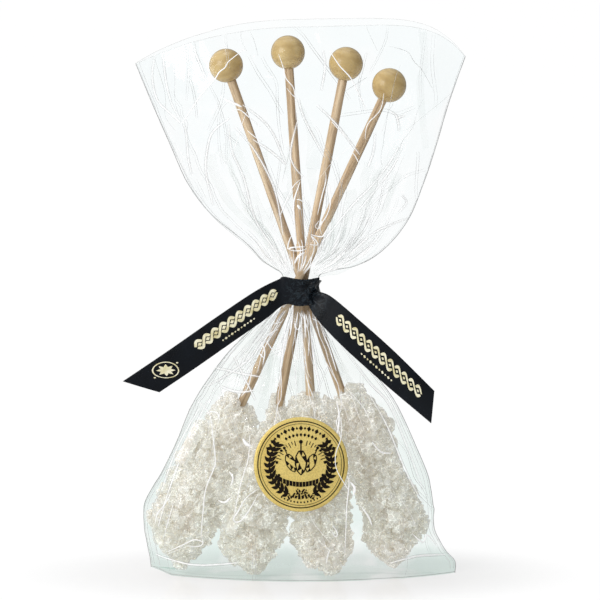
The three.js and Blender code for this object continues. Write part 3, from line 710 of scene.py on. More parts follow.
def film_points(first, last, seed, lines):
    """The film between two stations, pleated, crumpled and creased along the given lines."""
    angles = round_angles(FILM_COLUMNS)
    points, across = smooth_film(stations_evenly(first, last, FILM_ROWS), angles)
    away = np.abs(points[:, :, 2] - NECK_HEIGHT)
    loose = smoothstep(away, 6.0, 24.0) * smoothstep(points[:, :, 2], 0.0, 5.0)
    both = crumple(points, across, True, seed) + crumple(points, across, False, seed + 1)
    depth = CRUMPLE_HEIGHT * loose * both
    depth += pleats(points, angles)
    for line in lines:
        depth += tent(points, line["line"], line["front"], line["height"], line["reach"])
    depth *= 1.0 - near_label(points)
    return points + outward(points) * depth[:, :, None]


# ---------------------------------------------------------------- creases

# Creases of the front whose glints are drawn as painted highlight strips, as (across, up) points, with their
# width.
BRIGHT_CREASES = [
    ([(-31.4, 57.2), (-27.4, 53.5), (-26.3, 46.8), (-25.5, 39.4), (-26.0, 36.4), (-28.6, 29.7),
      (-29.5, 22.2), (-30.0, 16.2), (-29.6, 12.4)], 0.42),
    ([(-11.7, 30.3), (-15.7, 27.3), (-18.3, 22.8), (-19.7, 20.2), (-17.5, 19.8), (-14.6, 23.5),
      (-11.7, 28.8)], 0.42),
    ([(-14.4, 47.5), (-14.9, 40.0), (-17.4, 31.5), (-19.7, 20.4)], 0.36),
    ([(15.0, 62.0), (15.0, 56.1), (13.6, 51.6), (14.7, 47.2), (13.9, 42.7), (16.5, 35.3),
      (17.6, 32.3), (16.9, 24.8), (16.6, 17.4), (16.2, 7.6)], 0.4),
    ([(-41.0, 8.2), (-35.8, 11.2), (-32.4, 13.1), (-29.5, 12.4), (-31.0, 10.9), (-34.6, 10.9)], 0.4),
    ([(12.1, 18.4), (13.3, 17.1), (13.9, 15.2), (13.0, 14.9), (12.0, 16.8)], 0.4),
    ([(11.2, 10.3), (10.7, 8.5), (10.3, 6.0)], 0.4),
    ([(-3.3, 84.8), (-6.8, 80.0), (-10.0, 74.5), (-11.9, 67.4)], 0.34),
    ([(-11.2, 78.1), (-9.6, 74.4), (-10.2, 70.0)], 0.5),
    ([(16.2, 62.6), (19.7, 59.0), (22.9, 54.8), (25.5, 49.0)], 0.28),
    ([(-39.0, 25.1), (-40.7, 19.2), (-42.1, 13.8)], 0.3),
    ([(-35.8, 148.3), (-32.7, 153.3), (-29.9, 157.6), (-25.5, 162.8), (-23.9, 165.2), (-22.1, 166.6),
      (-21.1, 168.4), (-18.9, 170.2), (-15.7, 172.6)], 0.42),
    ([(-5.0, 171.0), (-3.6, 167.0), (-2.6, 163.4), (-0.2, 160.2), (0.4, 155.0), (0.6, 150.0)], 0.32),
    ([(-2.4, 160.4), (-0.4, 158.0), (2.2, 156.0)], 0.28),
    ([(11.3, 172.0), (14.4, 167.4), (18.1, 163.3), (21.2, 157.0), (23.1, 152.6)], 0.42),
    ([(28.6, 158.4), (27.4, 153.0), (23.4, 148.4), (22.6, 143.6)], 0.34),
    ([(-22.4, 156.6), (-18.6, 155.0), (-16.8, 154.2)], 0.9),
    ([(-20.0, 152.8), (-17.4, 153.2), (-13.8, 150.2), (-10.8, 147.6)], 0.4),
    ([(-15.0, 146.4), (-12.6, 144.4), (-10.2, 142.8)], 0.34),
    ([(12.0, 149.4), (14.4, 146.6), (17.0, 143.4)], 0.36),
    ([(18.4, 139.6), (19.8, 137.6), (20.8, 135.4)], 0.34),
    ([(-1.8, 107.4), (1.2, 107.0), (3.9, 107.8)], 0.4),
    ([(0.2, 102.8), (1.2, 104.8), (3.4, 106.7)], 0.36),
    ([(-28.4, 53.6), (-26.6, 54.4), (-24.8, 54.0), (-24.4, 52.6), (-26.0, 51.8)], 0.4),
    ([(-16.6, 46.2), (-15.4, 44.6), (-14.0, 44.0)], 1.3),
    ([(-21.0, 35.6), (-19.8, 33.6), (-20.6, 31.0)], 0.6),
    ([(-24.6, 26.4), (-22.4, 25.8), (-20.4, 27.6)], 0.7),
    ([(-40.0, 27.6), (-42.0, 24.0), (-44.4, 20.6), (-45.0, 17.4)], 0.5),
    ([(18.0, 32.4), (19.4, 30.6), (19.0, 28.0)], 0.9),
    ([(21.6, 24.4), (24.0, 20.8), (25.0, 18.0)], 0.6),
    ([(25.0, 45.0), (28.0, 41.6), (31.4, 41.0)], 0.6),
    ([(38.0, 14.6), (41.6, 11.2), (43.0, 13.4), (46.0, 9.6)], 0.5),
    ([(2.0, 130.6), (-0.5, 128.0), (-3.5, 121.3), (-4.7, 118.4)], 0.36),
    ([(1.8, 129.8), (0.3, 125.2), (-0.2, 122.6), (-0.1, 117.7), (0.7, 109.2)], 0.6),
    ([(0.7, 123.9), (1.8, 123.9), (3.1, 122.8)], 0.42),
    ([(1.0, 122.3), (1.9, 120.8)], 0.9),
    ([(-0.6, 112.5), (-1.6, 110.5), (-2.1, 107.6), (-0.8, 108.1), (3.3, 108.4)], 0.5),
    ([(3.1, 106.8), (1.2, 105.3), (-0.1, 102.7)], 0.42),
    ([(9.9, 133.1), (10.1, 130.1), (8.8, 124.9), (7.4, 119.0)], 0.4),
    ([(10.7, 129.8), (11.5, 126.9), (11.5, 122.6), (10.5, 119.0), (8.3, 115.1), (8.9, 112.5)], 0.36),
    ([(5.4, 112.5), (8.3, 111.7), (9.6, 112.5), (11.5, 116.4)], 0.5),
    ([(5.0, 109.2), (7.6, 109.2), (5.4, 112.2), (6.7, 109.6)], 0.42),
    ([(8.0, 117.1), (6.7, 115.1), (8.0, 114.5), (8.9, 117.1), (7.3, 113.8)], 0.32),
    ([(-3.4, 89.0), (-3.9, 88.0), (-2.4, 89.3)], 0.36),
    ([(-6.6, 83.1), (-4.3, 83.6)], 0.42),
    ([(-8.2, 79.2), (-7.3, 80.4), (-5.3, 81.3)], 0.38),
    ([(-8.9, 77.7), (-7.9, 75.8), (-5.6, 73.0)], 0.38),
    ([(-11.5, 73.7), (-9.7, 72.0)], 0.46),
    ([(-13.4, 68.8), (-15.0, 62.6), (-17.3, 59.6)], 0.36),
    ([(-1.4, 88.4), (-2.4, 84.1), (-3.4, 78.6)], 0.6),
    ([(-0.4, 88.4), (-0.8, 84.1), (-1.4, 79.5)], 0.6),
    ([(-0.1, 83.8), (0.8, 81.5), (1.8, 82.2), (2.4, 84.4), (1.8, 86.7)], 0.5),
    ([(2.4, 86.7), (3.6, 83.8), (4.7, 78.9), (4.4, 73.0)], 0.42),
    ([(5.7, 84.8), (7.6, 83.8)], 0.36),
    ([(8.3, 82.2), (9.9, 78.2), (11.5, 74.3), (13.5, 67.8)], 0.5),
    ([(3.7, 66.5), (5.0, 62.6), (6.3, 59.3)], 0.32),
    ([(13.6, 58.4), (14.4, 54.0), (14.0, 49.0), (12.4, 46.0)], 0.6),
]

# Fine creases of the front. Each shows as a pair of hairlines of painted shade, with a painted highlight
# between them.
FINE_CREASES = [
    [(-44.8, 170.8), (-46.0, 163.0), (-44.4, 155.1), (-40.1, 150.8), (-36.6, 148.0)],
    [(-42.6, 170.8), (-41.4, 161.0), (-39.5, 153.9), (-36.6, 148.9)],
    [(-32.7, 175.8), (-31.9, 170.8), (-28.7, 163.3)],
    [(-35.8, 148.3), (-34.9, 143.9), (-34.5, 137.0), (-33.3, 130.8)],
    [(-20.9, 150.8), (-26.5, 145.8), (-28.3, 139.5), (-28.7, 132.0), (-26.5, 120.8)],
    [(-21.5, 148.3), (-20.3, 139.5), (-16.6, 130.8), (-12.9, 117.0), (-6.7, 107.0), (-2.9, 101.0)],
    [(-19.0, 147.0), (-12.9, 139.5), (-6.7, 127.0), (-4.0, 112.0)],
    [(-16.7, 154.5), (-10.4, 149.5), (-6.7, 144.5), (-2.9, 135.1)],
    [(-13.5, 143.3), (-7.9, 139.5), (-2.9, 135.1)],
    [(0.8, 157.0), (3.2, 149.5), (9.4, 137.6)],
    [(0.6, 150.0), (-1.6, 138.0), (2.4, 131.0)],
    [(8.8, 172.0), (9.4, 167.0), (8.2, 159.5)],
    [(7.0, 154.5), (13.2, 148.3), (20.6, 138.3)],
    [(30.5, 152.0), (32.4, 150.5), (33.2, 145.8)],
    [(35.2, 151.4), (32.4, 150.3)],
    [(33.0, 140.8), (29.3, 134.5), (24.3, 128.3), (18.1, 122.0), (8.2, 109.5)],
    [(34.5, 142.0), (30.5, 133.3), (20.6, 120.8)],
    [(25.5, 145.8), (24.9, 139.5), (23.1, 134.5)],
    [(34.2, 124.5), (35.7, 122.0), (33.0, 118.9)],
    [(36.7, 117.0), (30.5, 115.1), (24.3, 112.0), (13.2, 102.0)],
    [(-28.4, 57.8), (-35.3, 43.3), (-41.1, 28.2), (-44.5, 16.6)],
    [(-30.0, 57.0), (-38.2, 42.0), (-43.4, 28.0)],
    [(-19.8, 71.7), (-15.2, 63.0), (-12.9, 58.4)],
    [(-29.0, 61.0), (-22.1, 65.3), (-15.2, 70.5), (-10.6, 76.9)],
    [(-1.4, 86.5), (-3.7, 76.9), (-5.4, 63.0)],
    [(4.4, 86.0), (5.5, 74.6), (7.8, 63.0)],
    [(12.4, 80.0), (17.0, 72.6), (23.9, 63.3), (30.0, 56.4), (35.0, 45.0), (41.3, 28.2)],
    [(23.9, 59.5), (29.7, 49.1), (35.4, 35.2), (41.2, 23.6)],
    [(30.8, 5.0), (40.0, 6.5), (49.0, 6.0)],
    [(-29.9, 66.4), (-24.0, 67.2), (-17.0, 66.4), (-10.5, 65.6)],
    [(-24.0, 62.0), (-18.4, 60.6), (-12.8, 61.4)],
    [(-45.0, 6.2), (-32.5, 4.0), (-18.0, 5.5)],
]
PAIR_GAP = 0.75
CREASE_SEED = 25
PLEAT_SEED = 17
POUCH_SEED = 101
RUFF_SEED = 202
RADIAL_CREASES = 84
LOOSE_CREASES = 70
GATHERS = 130  # short folds close to the ribbon, their glints painted, a quarter of them as hairlines

# Pleats that lie double: the line of their middle, as (across, up), with their widths at both ends.
WIDE_PLEATS = [
    ([(41.0, 178.6), (41.6, 166.0), (40.2, 160.8), (42.2, 139.4)], 2.6, 2.2),
    ([(-31.0, 58.0), (-38.6, 44.5), (-43.6, 32.0), (-46.2, 22.0), (-46.0, 6.0)], 2.0, 3.4),
    ([(1.4, 156.0), (5.6, 145.0), (6.0, 134.0)], 1.0, 5.0),
    ([(-20.0, 146.0), (-17.0, 136.0), (-12.6, 122.0), (-6.0, 108.0)], 2.0, 6.0),
    ([(33.5, 141.0), (26.0, 129.6), (16.0, 117.0), (9.0, 107.0)], 3.4, 2.4),
]
RADIAL_PLEATS = 46


def kinked_line(rng, start, heading, length, wander):
    """A line that runs on in short straight stretches, turning a little at each kink."""
    line = [start]
    turned = heading
    left = length
    while left > 0.0:
        stretch = min(rng.uniform(3.5, 11.0), left)
        x, z = line[-1]
        line.append((x + stretch * math.cos(turned), z + stretch * math.sin(turned)))
        turned += rng.normal(0.0, wander)
        left -= stretch
    return line


def film_middles():
    """Heights of the film's middle, with its left and right edges there."""
    dense = np.linspace(0, len(FILM_STATIONS) - 1, 600)
    left, left_height, right, right_height, _, _, crown = film_section(dense)
    return (left_height + right_height) / 2.0 + crown * 0.8, left, right


MIDDLES = film_middles()


def radial_line(rng, upwards, across, reach, begin_within=7.0):
    """A line that runs out from the neck along the film, with small kinks."""
    first = NECK_HEIGHT + 5.2 if upwards else NECK_HEIGHT - 6.2
    heights, left, right = MIDDLES
    line = []
    begin = rng.uniform(0.0, begin_within)
    for step in np.arange(begin, begin + reach, 2.6):
        z = first + step if upwards else first - step
        x = np.interp(z, heights, (left + right) / 2.0) + across * np.interp(z, heights, (right - left) / 2.0)
        line.append((x + rng.normal(0.0, 0.1), z))
        across += rng.normal(0.0, 0.012)
    return line


def beside(line, gap):
    """The line that runs next to another one at a gap."""
    return (np.asarray(line, float) + aside(line) * gap).tolist()


def crease(line, front, width, kind, height=0.25, reach=1.4):
    return dict(line=line, front=front, width=width, kind=kind, height=height, reach=reach)


def hairlines(rng, line, front):
    """A fine crease: a hairline, most often with a second one beside it."""
    width = rng.uniform(0.13, 0.2)
    pair = [crease(line, front, width, "hairline")]
    if rng.random() < 0.6:
        gap = PAIR_GAP * rng.uniform(0.7, 1.3)
        pair.append(crease(beside(line, gap), front, width * 0.9, "hairline", 0.0))
    return pair


def crease_lines():
    """Every crease: its line, which side it is on, how it stands and how wide its glint or fold is."""
    rng = np.random.default_rng(CREASE_SEED)
    creases = [crease(line, True, width, "glint", 0.4, 2.0) for line, width in BRIGHT_CREASES]
    for line in FINE_CREASES:
        creases.append(crease(line, True, 0.2, "hairline"))
        creases.append(crease(beside(line, PAIR_GAP), True, 0.18, "hairline", 0.0))
        creases.append(crease(beside(line, PAIR_GAP / 2.0), True, PAIR_GAP * 0.6, "glint", 0.0))
    for index in range(RADIAL_CREASES):
        reach = rng.uniform(8.0, 26.0) if rng.random() < 0.75 else rng.uniform(26.0, 60.0)
        line = radial_line(rng, index % 2 == 0, rng.uniform(-0.93, 0.93), reach)
        if len(line) > 2 and index % 4 == 3:
            creases.append(crease(line, True, rng.uniform(0.12, 0.24), "glint"))
        elif len(line) > 2:
            creases += hairlines(rng, line, bool(index % 3))
    for index in range(LOOSE_CREASES):
        if index % 5 < 3:
            start = (rng.uniform(-42.0, 46.0), rng.uniform(112.0, 172.0))
            heading = math.atan2(start[1] - 70.0, start[0] - 2.0) + rng.normal(0.0, 0.5)
        else:
            start = (rng.uniform(-40.0, 42.0), rng.uniform(8.0, 76.0))
            heading = math.atan2(start[1] - 120.0, start[0] - 2.0) + rng.normal(0.0, 0.5)
        line = kinked_line(rng, start, heading, rng.uniform(6.0, 34.0), 0.24)
        if index % 9 == 4:
            creases.append(crease(line, True, rng.uniform(0.1, 0.2), "glint"))
        else:
            creases += hairlines(rng, line, bool(rng.random() < 0.6))
    for index in range(GATHERS):
        reach = rng.uniform(5.3, 13.0)
        line = radial_line(rng, index % 2 == 0, rng.uniform(-0.95, 0.95), reach, 1.5)
        kind = "hairline" if index % 4 == 3 else "glint"
        creases.append(crease(line, index % 3 < 2, rng.uniform(0.14, 0.42), kind))
    return creases


def resampled(line, step):
    """Points at even steps along the smooth curve through a line's points."""
    line = along(line, np.linspace(0.0, len(line) - 1.0, 12 * len(line)))
    lengths = np.concatenate([[0.0], np.cumsum(np.linalg.norm(np.diff(line, axis=0), axis=1))])
    count = max(int(lengths[-1] / step), 3)
    places = np.linspace(0.0, lengths[-1], count + 1)
    return np.stack([np.interp(places, lengths, line[:, axis]) for axis in (0, 1)], axis=1)


def drop(tree, x, z, front):
    """Where a straight way from the front or the back meets the film, and the film's normal there."""
    way = Vector((0.0, 1.0 if front else -1.0, 0.0))
    spot, normal = tree.ray_cast(Vector((x, -way.y * 60.0, z)), way)[:2]
    if spot is None:
        return None
    return spot, normal if normal.dot(way) < 0.0 else -normal


def crease_strip(tree, line):
    """A thin closed ridge that lies on the film along a crease. Returns its points and faces."""
    hits = []
    for x, z in resampled(line["line"], 0.7):
        hit = drop(tree, x, z, line["front"])
        if hit is None:
            if len(hits) > 3:
                break
            hits = []
        else:
            hits.append(hit)
    if len(hits) < 4:
        return [], []
    points, faces = [], []
    last = len(hits) - 1
    for index, (spot, normal) in enumerate(hits):
        ahead = (hits[min(index + 1, last)][0] - hits[max(index - 1, 0)][0]).normalized()
        side = ahead.cross(normal).normalized()
        taper = math.sin(math.pi * (0.06 + 0.88 * index / last)) ** 0.6
        half = line["width"] / 2.0 * taper
        middle = spot + normal * 0.06
        points += [middle - side * half, middle + normal * half * 0.7, middle + side * half]
    for index in range(last):
        base = index * 3
        for corner in range(3):
            other = (corner + 1) % 3
            faces.append((base + corner, base + other, base + 3 + other, base + 3 + corner))
    faces.append((2, 1, 0))
    faces.append((last * 3, last * 3 + 1, last * 3 + 2))
    return points, faces


def creases_on(name, kind, trees, creases, material):
    strips = [crease_strip(trees[line["line"][0][1] > NECK_HEIGHT], line)
              for line in creases if line["kind"] == kind]
    mount(make_piece(name, *joined(strips), material), "film")


PLEAT_COLUMNS = 5


def pleat_sheet(tree, line, first_width, last_width, front):
    """A sheet that lies close over the film along a line, with a width at each end."""
    rows = resampled(line, 1.2)
    ways = aside(rows)
    widths = np.linspace(first_width, last_width, len(rows))
    grid = np.full((len(rows), PLEAT_COLUMNS), -1)
    points = []
    for row, column in np.ndindex(grid.shape):
        x, z = rows[row] + ways[row] * widths[row] * (column / (PLEAT_COLUMNS - 1.0) - 0.5)
        hit = drop(tree, x, z, front)
        if hit is not None:
            grid[row, column] = len(points)
            points.append(tuple(hit[0] + hit[1] * 0.04))
    quads = np.stack([grid[:-1, :-1], grid[1:, :-1], grid[1:, 1:], grid[:-1, 1:]], axis=2).reshape(-1, 4)
    return points, [tuple(quad) for quad in quads if quad.min() >= 0]


def doubled_pleats(trees):
    """Pleats that lie double, the listed ones and others that fan out from the neck."""
    rng = np.random.default_rng(PLEAT_SEED)
    pleats_wanted = [(line, first, last, True) for line, first, last in WIDE_PLEATS]
    for index in range(RADIAL_PLEATS):
        upwards = index % 2 == 0
        reach = rng.uniform(12.0, 40.0)
        line = radial_line(rng, upwards, rng.uniform(-0.9, 0.9), reach)
        if len(line) > 3:
            pleats_wanted.append((line, rng.uniform(0.3, 0.9), rng.uniform(1.2, 4.5), bool(index % 3)))
    sheets = [pleat_sheet(trees[line[0][1] > NECK_HEIGHT], line, first, last, front)
              for line, first, last, front in pleats_wanted]
    mount(make_piece("film_pleats", *joined(sheets), BAND), "film")


def thread(path, radius):
    """A very thin four-sided tube along a path of points."""
    path = np.asarray(path, float)
    ahead = unit(np.gradient(path, axis=0))
    first = unit(np.cross(ahead, (0.31, 0.9, 0.3)))
    second = np.cross(ahead, first)
    rings = np.stack([path + first * radius, path + second * radius, path - first * radius,
                      path - second * radius], axis=1)
    return rings.reshape(-1, 3), tube_faces(len(path), 4)


def threads(name, paths, material):
    tubes = [thread(path, radius) for path, radius in paths]
    mount(make_piece(name, *joined(tubes), material), "film")


def film_edges(pouch, ruff):
    """The folded side edges, the bottom edge and the cut rim of the film, as thin threads of painted shade.
    """
    right, left = 0, FILM_COLUMNS // 2
    sides = [(grid[:, column], 0.14) for grid in (pouch, ruff) for column in (right, left)]
    bottom = np.concatenate([pouch[1, left:], pouch[1, :1]])
    threads("film_side_edges", sides + [(bottom, 0.12)], EDGE_LINE)
    folds = [(pouch[4:, left + step], 0.09) for step in (9, 14, 22)]
    folds += [(pouch[4:, -step], 0.08) for step in (10, 17)]
    folds += [(ruff[8:, left + step], 0.08) for step in (7, 13)] + [(ruff[8:, -8], 0.08)]
    threads("film_edge_folds", folds, HAIRLINE)
    threads("film_rim", [(ruff[-1], 0.07)], HAIRLINE)


def film():
    """The pouch with its base, the ruff over the neck, and the creases of both."""
    creases = crease_lines()
    upper = [line for line in creases if line["line"][0][1] > NECK_HEIGHT and line["height"] > 0.0]
    lower = [line for line in creases if line["line"][0][1] <= NECK_HEIGHT and line["height"] > 0.0]
    pouch = film_points(0.0, NECK_STATION, POUCH_SEED, lower)
    ruff = film_points(NECK_STATION - 0.1, len(FILM_STATIONS) - 1.0, RUFF_SEED, upper)
    faces = grid_faces(FILM_ROWS, FILM_COLUMNS)
    trees = {}
    for grid, is_upper in ((pouch, False), (ruff, True)):
        vectors = [Vector(point) for point in grid.reshape(-1, 3).tolist()]
        trees[is_upper] = BVHTree.FromPolygons(vectors, faces.tolist())
    first_ring = list(range(FILM_COLUMNS - 1, -1, -1))
    pouch_faces = faces.tolist() + [first_ring]
    mount(make_piece("film_pouch", pouch.reshape(-1, 3), pouch_faces, FILM), "film", "bag")
    mount(make_piece("film_ruff", ruff.reshape(-1, 3), faces, FILM), "film")
    creases_on("film_glints", "glint", trees, creases, GLINT)
    creases_on("film_hairlines", "hairline", trees, creases, HAIRLINE)
    doubled_pleats(trees)
    film_edges(pouch, ruff)


POUCH = film_section(np.linspace(0.0, NECK_STATION, 900))


def pouch_front(x, z):
    """How far the smooth film of the pouch stands from the middle plane at a place."""
    left, height, right, _, depth, pinch, _ = POUCH
    edge_left = np.interp(z, height, left)
    edge_right = np.interp(z, height, right)
    across = (2.0 * x - edge_left - edge_right) / (edge_right - edge_left)
    bow = np.maximum(1.0 - across**2, 0.0) ** np.interp(z, height, pinch)
    return np.interp(z, height, depth) * bow


# ---------------------------------------------------------------- candies

CRYSTAL_SHAPES = 16
CRYSTAL_SEED = 3
# Kinds of crystal on a candy: how many, half lengths from and to, and how far out of the core they stand.
CRYSTAL_KINDS = [(190, 1.8, 3.2, -0.9), (420, 1.0, 1.8, 0.1), (420, 0.5, 0.9, 0.8)]
CORE_INSET = 1.6
LUMP_HEIGHT = 1.5
CANDY_SIDES = 56
CANDY_ROWS = 90
# A flat slab crystal that stands out of the left candy: middle, half sizes, and the way it leans.
SLAB_MIDDLE = (-33.6, -6.6, 43.6)
SLAB_HALF = (2.8, 1.4, 7.0)
SLAB_LEAN = (0.36, 0.05, 0.93)


def crystal_shapes(rng):
    """Convex blocks about 2 long with slanted ends and cut corners, as points and triangles."""
    shapes = []
    for _ in range(CRYSTAL_SHAPES):
        block = bmesh.new()
        bmesh.ops.create_cube(block, size=2.0)
        wide, deep = rng.uniform(0.6, 0.9), rng.uniform(0.45, 0.75)
        lean = rng.uniform(-0.3, 0.3)
        for vertex in block.verts:
            vertex.co = (vertex.co.x * wide + lean * vertex.co.z, vertex.co.y * deep, vertex.co.z)
        for _ in range(6):
            way = Vector(rng.normal(size=3)).normalized()
            reach = max(way.dot(vertex.co) for vertex in block.verts) * rng.uniform(0.7, 0.9)
            everything = block.verts[:] + block.edges[:] + block.faces[:]
            cut = bmesh.ops.bisect_plane(block, geom=everything, plane_co=way * reach, plane_no=way,
                                         clear_outer=True)
            rim = [item for item in cut["geom_cut"] if isinstance(item, bmesh.types.BMEdge)]
            bmesh.ops.edgeloop_fill(block, edges=rim)
        bmesh.ops.recalc_face_normals(block, faces=block.faces)
        bmesh.ops.triangulate(block, faces=block.faces)
        block.verts.index_update()
        points = np.array([vertex.co[:] for vertex in block.verts])
        faces = np.array([[vertex.index for vertex in face.verts] for face in block.faces])
        block.free()
        shapes.append((points, faces))
    return shapes


def candy_rows(candy, places):
    """Height, middle, half width, middle depth and half depth of a candy at places along it."""
    rows = np.array(candy["outline"])
    height, left, right = along(rows, places).T
    top, tip = rows[0, 0], rows[-1, 0]
    down = (top - height) / (top - tip)
    back = candy["back"][0] + (candy["back"][1] - candy["back"][0]) * down
    half = (right - left) / 2.0
    thick = candy["thick"] / 2.0
    deep = thick * np.minimum(half / (0.82 * thick), 1.0) ** 0.85
    return height, (left + right) / 2.0, half, back, deep


def candy_surface(candy, places, angles, inset):
    """Points of a candy's surface and the ways out of it, at places along it and angles round it."""
    height, middle, half, back, deep = candy_rows(candy, places)
    half = np.maximum(half - inset, 0.5)
    deep = np.maximum(deep - inset, 0.5)
    points = np.stack([middle + half * np.cos(angles), back + deep * np.sin(angles), height], axis=1)
    last = len(candy["outline"]) - 1.0
    above = candy_rows(candy, np.maximum(places - 0.2, 0.0))
    below = candy_rows(candy, np.minimum(places + 0.2, last))
    slope, run = below[2] - above[2], above[0] - below[0]
    ways = unit(np.stack([np.cos(angles) / half, np.sin(angles) / deep, np.zeros_like(angles)], axis=1))
    ways[:, 2] += np.clip(slope / np.maximum(run, 0.2), -1.2, 1.2)
    return points, unit(ways)


def keep_inside(points):
    """Moves a crystal as a whole back inside the film and off the floor."""
    room = np.maximum(pouch_front(points[:, 0], points[:, 2]) - 0.9, 1.0)
    forwards = np.max(-points[:, 1] - room)
    backwards = np.max(points[:, 1] - room)
    low = 0.7 - points[:, 2].min()
    return points + (0.0, max(forwards, 0.0) - max(backwards, 0.0), max(low, 0.0))


def turns_along(ways, rng):
    """Rotation matrices whose long axis leans randomly off the given ways."""
    long = unit(ways + rng.normal(0.0, 0.62, ways.shape))
    other = unit(np.cross(long, rng.normal(size=ways.shape)))
    return np.stack([other, np.cross(long, other), long], axis=2)


def spread_places(candy, count, rng):
    """Places along a candy, more of them where it is wide."""
    dense = np.linspace(0.0, len(candy["outline"]) - 1.0, 400)
    height, _, half, _, deep = candy_rows(candy, dense)
    step = np.abs(np.gradient(height)) * (half + deep + 2.0)
    share = np.concatenate([[0.0], np.cumsum((step[1:] + step[:-1]) / 2.0)])
    wanted = (np.arange(count) + rng.uniform(0.0, 1.0, count)) / count * share[-1]
    return np.interp(wanted, share, dense)


def lumps(points):
    """Soft swellings a few millimetres wide, from -1 to 1."""
    x, y, z = points.T
    broad = np.sin(x * 0.61 + 1.0) * np.sin(z * 0.53 + 0.4 * x) + np.sin(y * 0.7 + 0.35 * z + 2.0)
    fine = np.sin(x * 1.3 - z * 0.9) * np.sin(z * 1.15 + y * 1.2)
    return 0.36 * broad + 0.28 * fine


def crystals_for(candy, rng, count, halves, stand):
    """Centres, rotations and sizes of one kind of crystal over a candy."""
    places = spread_places(candy, count, rng)
    angles = np.arange(count) * math.pi * (3.0 - math.sqrt(5.0)) + rng.uniform(-0.4, 0.4, count)
    centres, ways = candy_surface(candy, places, angles, CORE_INSET)
    sizes = halves[0] + (halves[1] - halves[0]) * rng.uniform(0.0, 1.0, count) ** 1.6
    out = stand + LUMP_HEIGHT * lumps(centres) + rng.normal(0.0, 0.25, count) - 0.25 * (sizes - halves[0])
    return centres + ways * out[:, None], turns_along(ways, rng), sizes


def candy_core(candy):
    """A lumpy closed core for the crystals to sit on."""
    last = len(candy["outline"]) - 1.0
    places = np.repeat(np.linspace(0.05, last - 0.05, CANDY_ROWS), CANDY_SIDES)
    angles = np.tile(-round_angles(CANDY_SIDES), CANDY_ROWS)
    points, ways = candy_surface(candy, places, angles, CORE_INSET)
    points += ways * (LUMP_HEIGHT * lumps(points))[:, None]
    return points, tube_faces(CANDY_ROWS, CANDY_SIDES)


def slab_crystal(shape):
    """The flat slab on the left candy."""
    points, faces = shape
    long = unit(np.array(SLAB_LEAN))
    thin = unit(np.cross(long, (1.0, 0.0, 0.0)))
    turn = np.stack([np.cross(thin, long), thin, long], axis=1)
    reach = np.abs(points).max(axis=0)
    return (points / reach * SLAB_HALF) @ turn.T + SLAB_MIDDLE, faces


def fused(pile):
    """One closed skin round overlapping solids, each given as points and faces."""
    heap = bpy.data.collections.new("crystal_heap")
    loose = []
    for points, faces in pile:
        mesh = bpy.data.meshes.new("crystal")
        mesh.from_pydata(np.asarray(points).tolist(), [], [list(map(int, face)) for face in faces])
        loose.append(bpy.data.objects.new("crystal", mesh))
    bpy.context.collection.objects.link(loose[0])
    for crystal in loose[1:]:
        heap.objects.link(crystal)
    union = loose[0].modifiers.new("union", "BOOLEAN")
    union.operation = "UNION"
    union.operand_type = "COLLECTION"
    union.collection = heap
    union.solver = "MANIFOLD"
    shape = loose[0].evaluated_get(bpy.context.evaluated_depsgraph_get())
    skin = bpy.data.meshes.new_from_object(shape)
    points = np.array([vertex.co[:] for vertex in skin.vertices])
    faces = [tuple(face.vertices) for face in skin.polygons]
    meshes = [skin] + [crystal.data for crystal in loose]
    for crystal in loose:
        bpy.data.objects.remove(crystal)
    for mesh in meshes:
        bpy.data.meshes.remove(mesh)
    bpy.data.collections.remove(heap)
    return points, faces


def standing_out(candy, points):
    """How far points of a candy lie outside its mean surface, in millimetres."""
    dense = np.linspace(0.0, len(candy["outline"]) - 1.0, 300)
    height, middle, half, back, deep = candy_rows(candy, dense)
    order = np.argsort(height)
    middle, half, back, deep = [np.interp(points[:, 2], height[order], value[order])
                                for value in (middle, half, back, deep)]
    reach = np.hypot((points[:, 0] - middle) / half, (points[:, 1] - back) / deep)
    return (reach - 1.0) * np.minimum(half, deep)


def candy(index, shapes):
    """One candy: the crystals grown over its core, fused into one skin."""
    form = CANDIES[index]
    rng = np.random.default_rng(form["seed"])
    pile = [candy_core(form)]
    for count, smallest, largest, stand in CRYSTAL_KINDS:
        centres, turns, sizes = crystals_for(form, rng, count, (smallest, largest), stand)
        for centre, turn, size in zip(centres, turns, sizes):
            points, faces = shapes[int(rng.integers(len(shapes)))]
            pile.append((keep_inside((points * size) @ turn.T + centre), faces))
    if index == 0:
        pile.append(slab_crystal(shapes[3]))
    points, faces = fused(pile)
    piece = make_piece(f"sugar_{index + 1}", points, faces, SUGAR, smooth=False)
    # Random per facet: the facet's tone, and on a few facets a painted glint.
    shine = rng.uniform(0.0, 1.0, len(piece.data.polygons))
    for name, domain, values in (("facet", "FACE", shine), ("proud", "POINT", standing_out(form, points))):
        attribute = piece.data.attributes.new(name, "FLOAT", domain)
        attribute.data.foreach_set("value", values.astype(np.float32))
    return mount(piece, "sugar", f"candy_{index + 1}")


# ---------------------------------------------------------------- sticks and balls

STICK_SIDES = 28
STICK_ROWS = 120
BALL_SIDES = 64
BALL_ROWS = 40


def lathe(profile, sides):
    """Points and faces of a profile of (radius, height) turned about Z and closed at both ends."""
    angles = round_angles(sides)
    rings = [np.stack([radius * np.cos(angles), radius * np.sin(angles), np.full(sides, height)], axis=1)
             for radius, height in profile]
    return np.concatenate(rings), tube_faces(len(profile), sides)


def stand_along(piece, start, end, shift):
    """Puts a piece made along Z so that its height of shift lies at start and it runs towards end."""
    way = (Vector(end) - Vector(start)).normalized()
    turn = way.to_track_quat("Z", "Y")
    place = Vector(start) * MM - turn @ Vector((0.0, 0.0, shift * MM))
    piece.matrix_world = Matrix.Translation(place) @ turn.to_matrix().to_4x4()


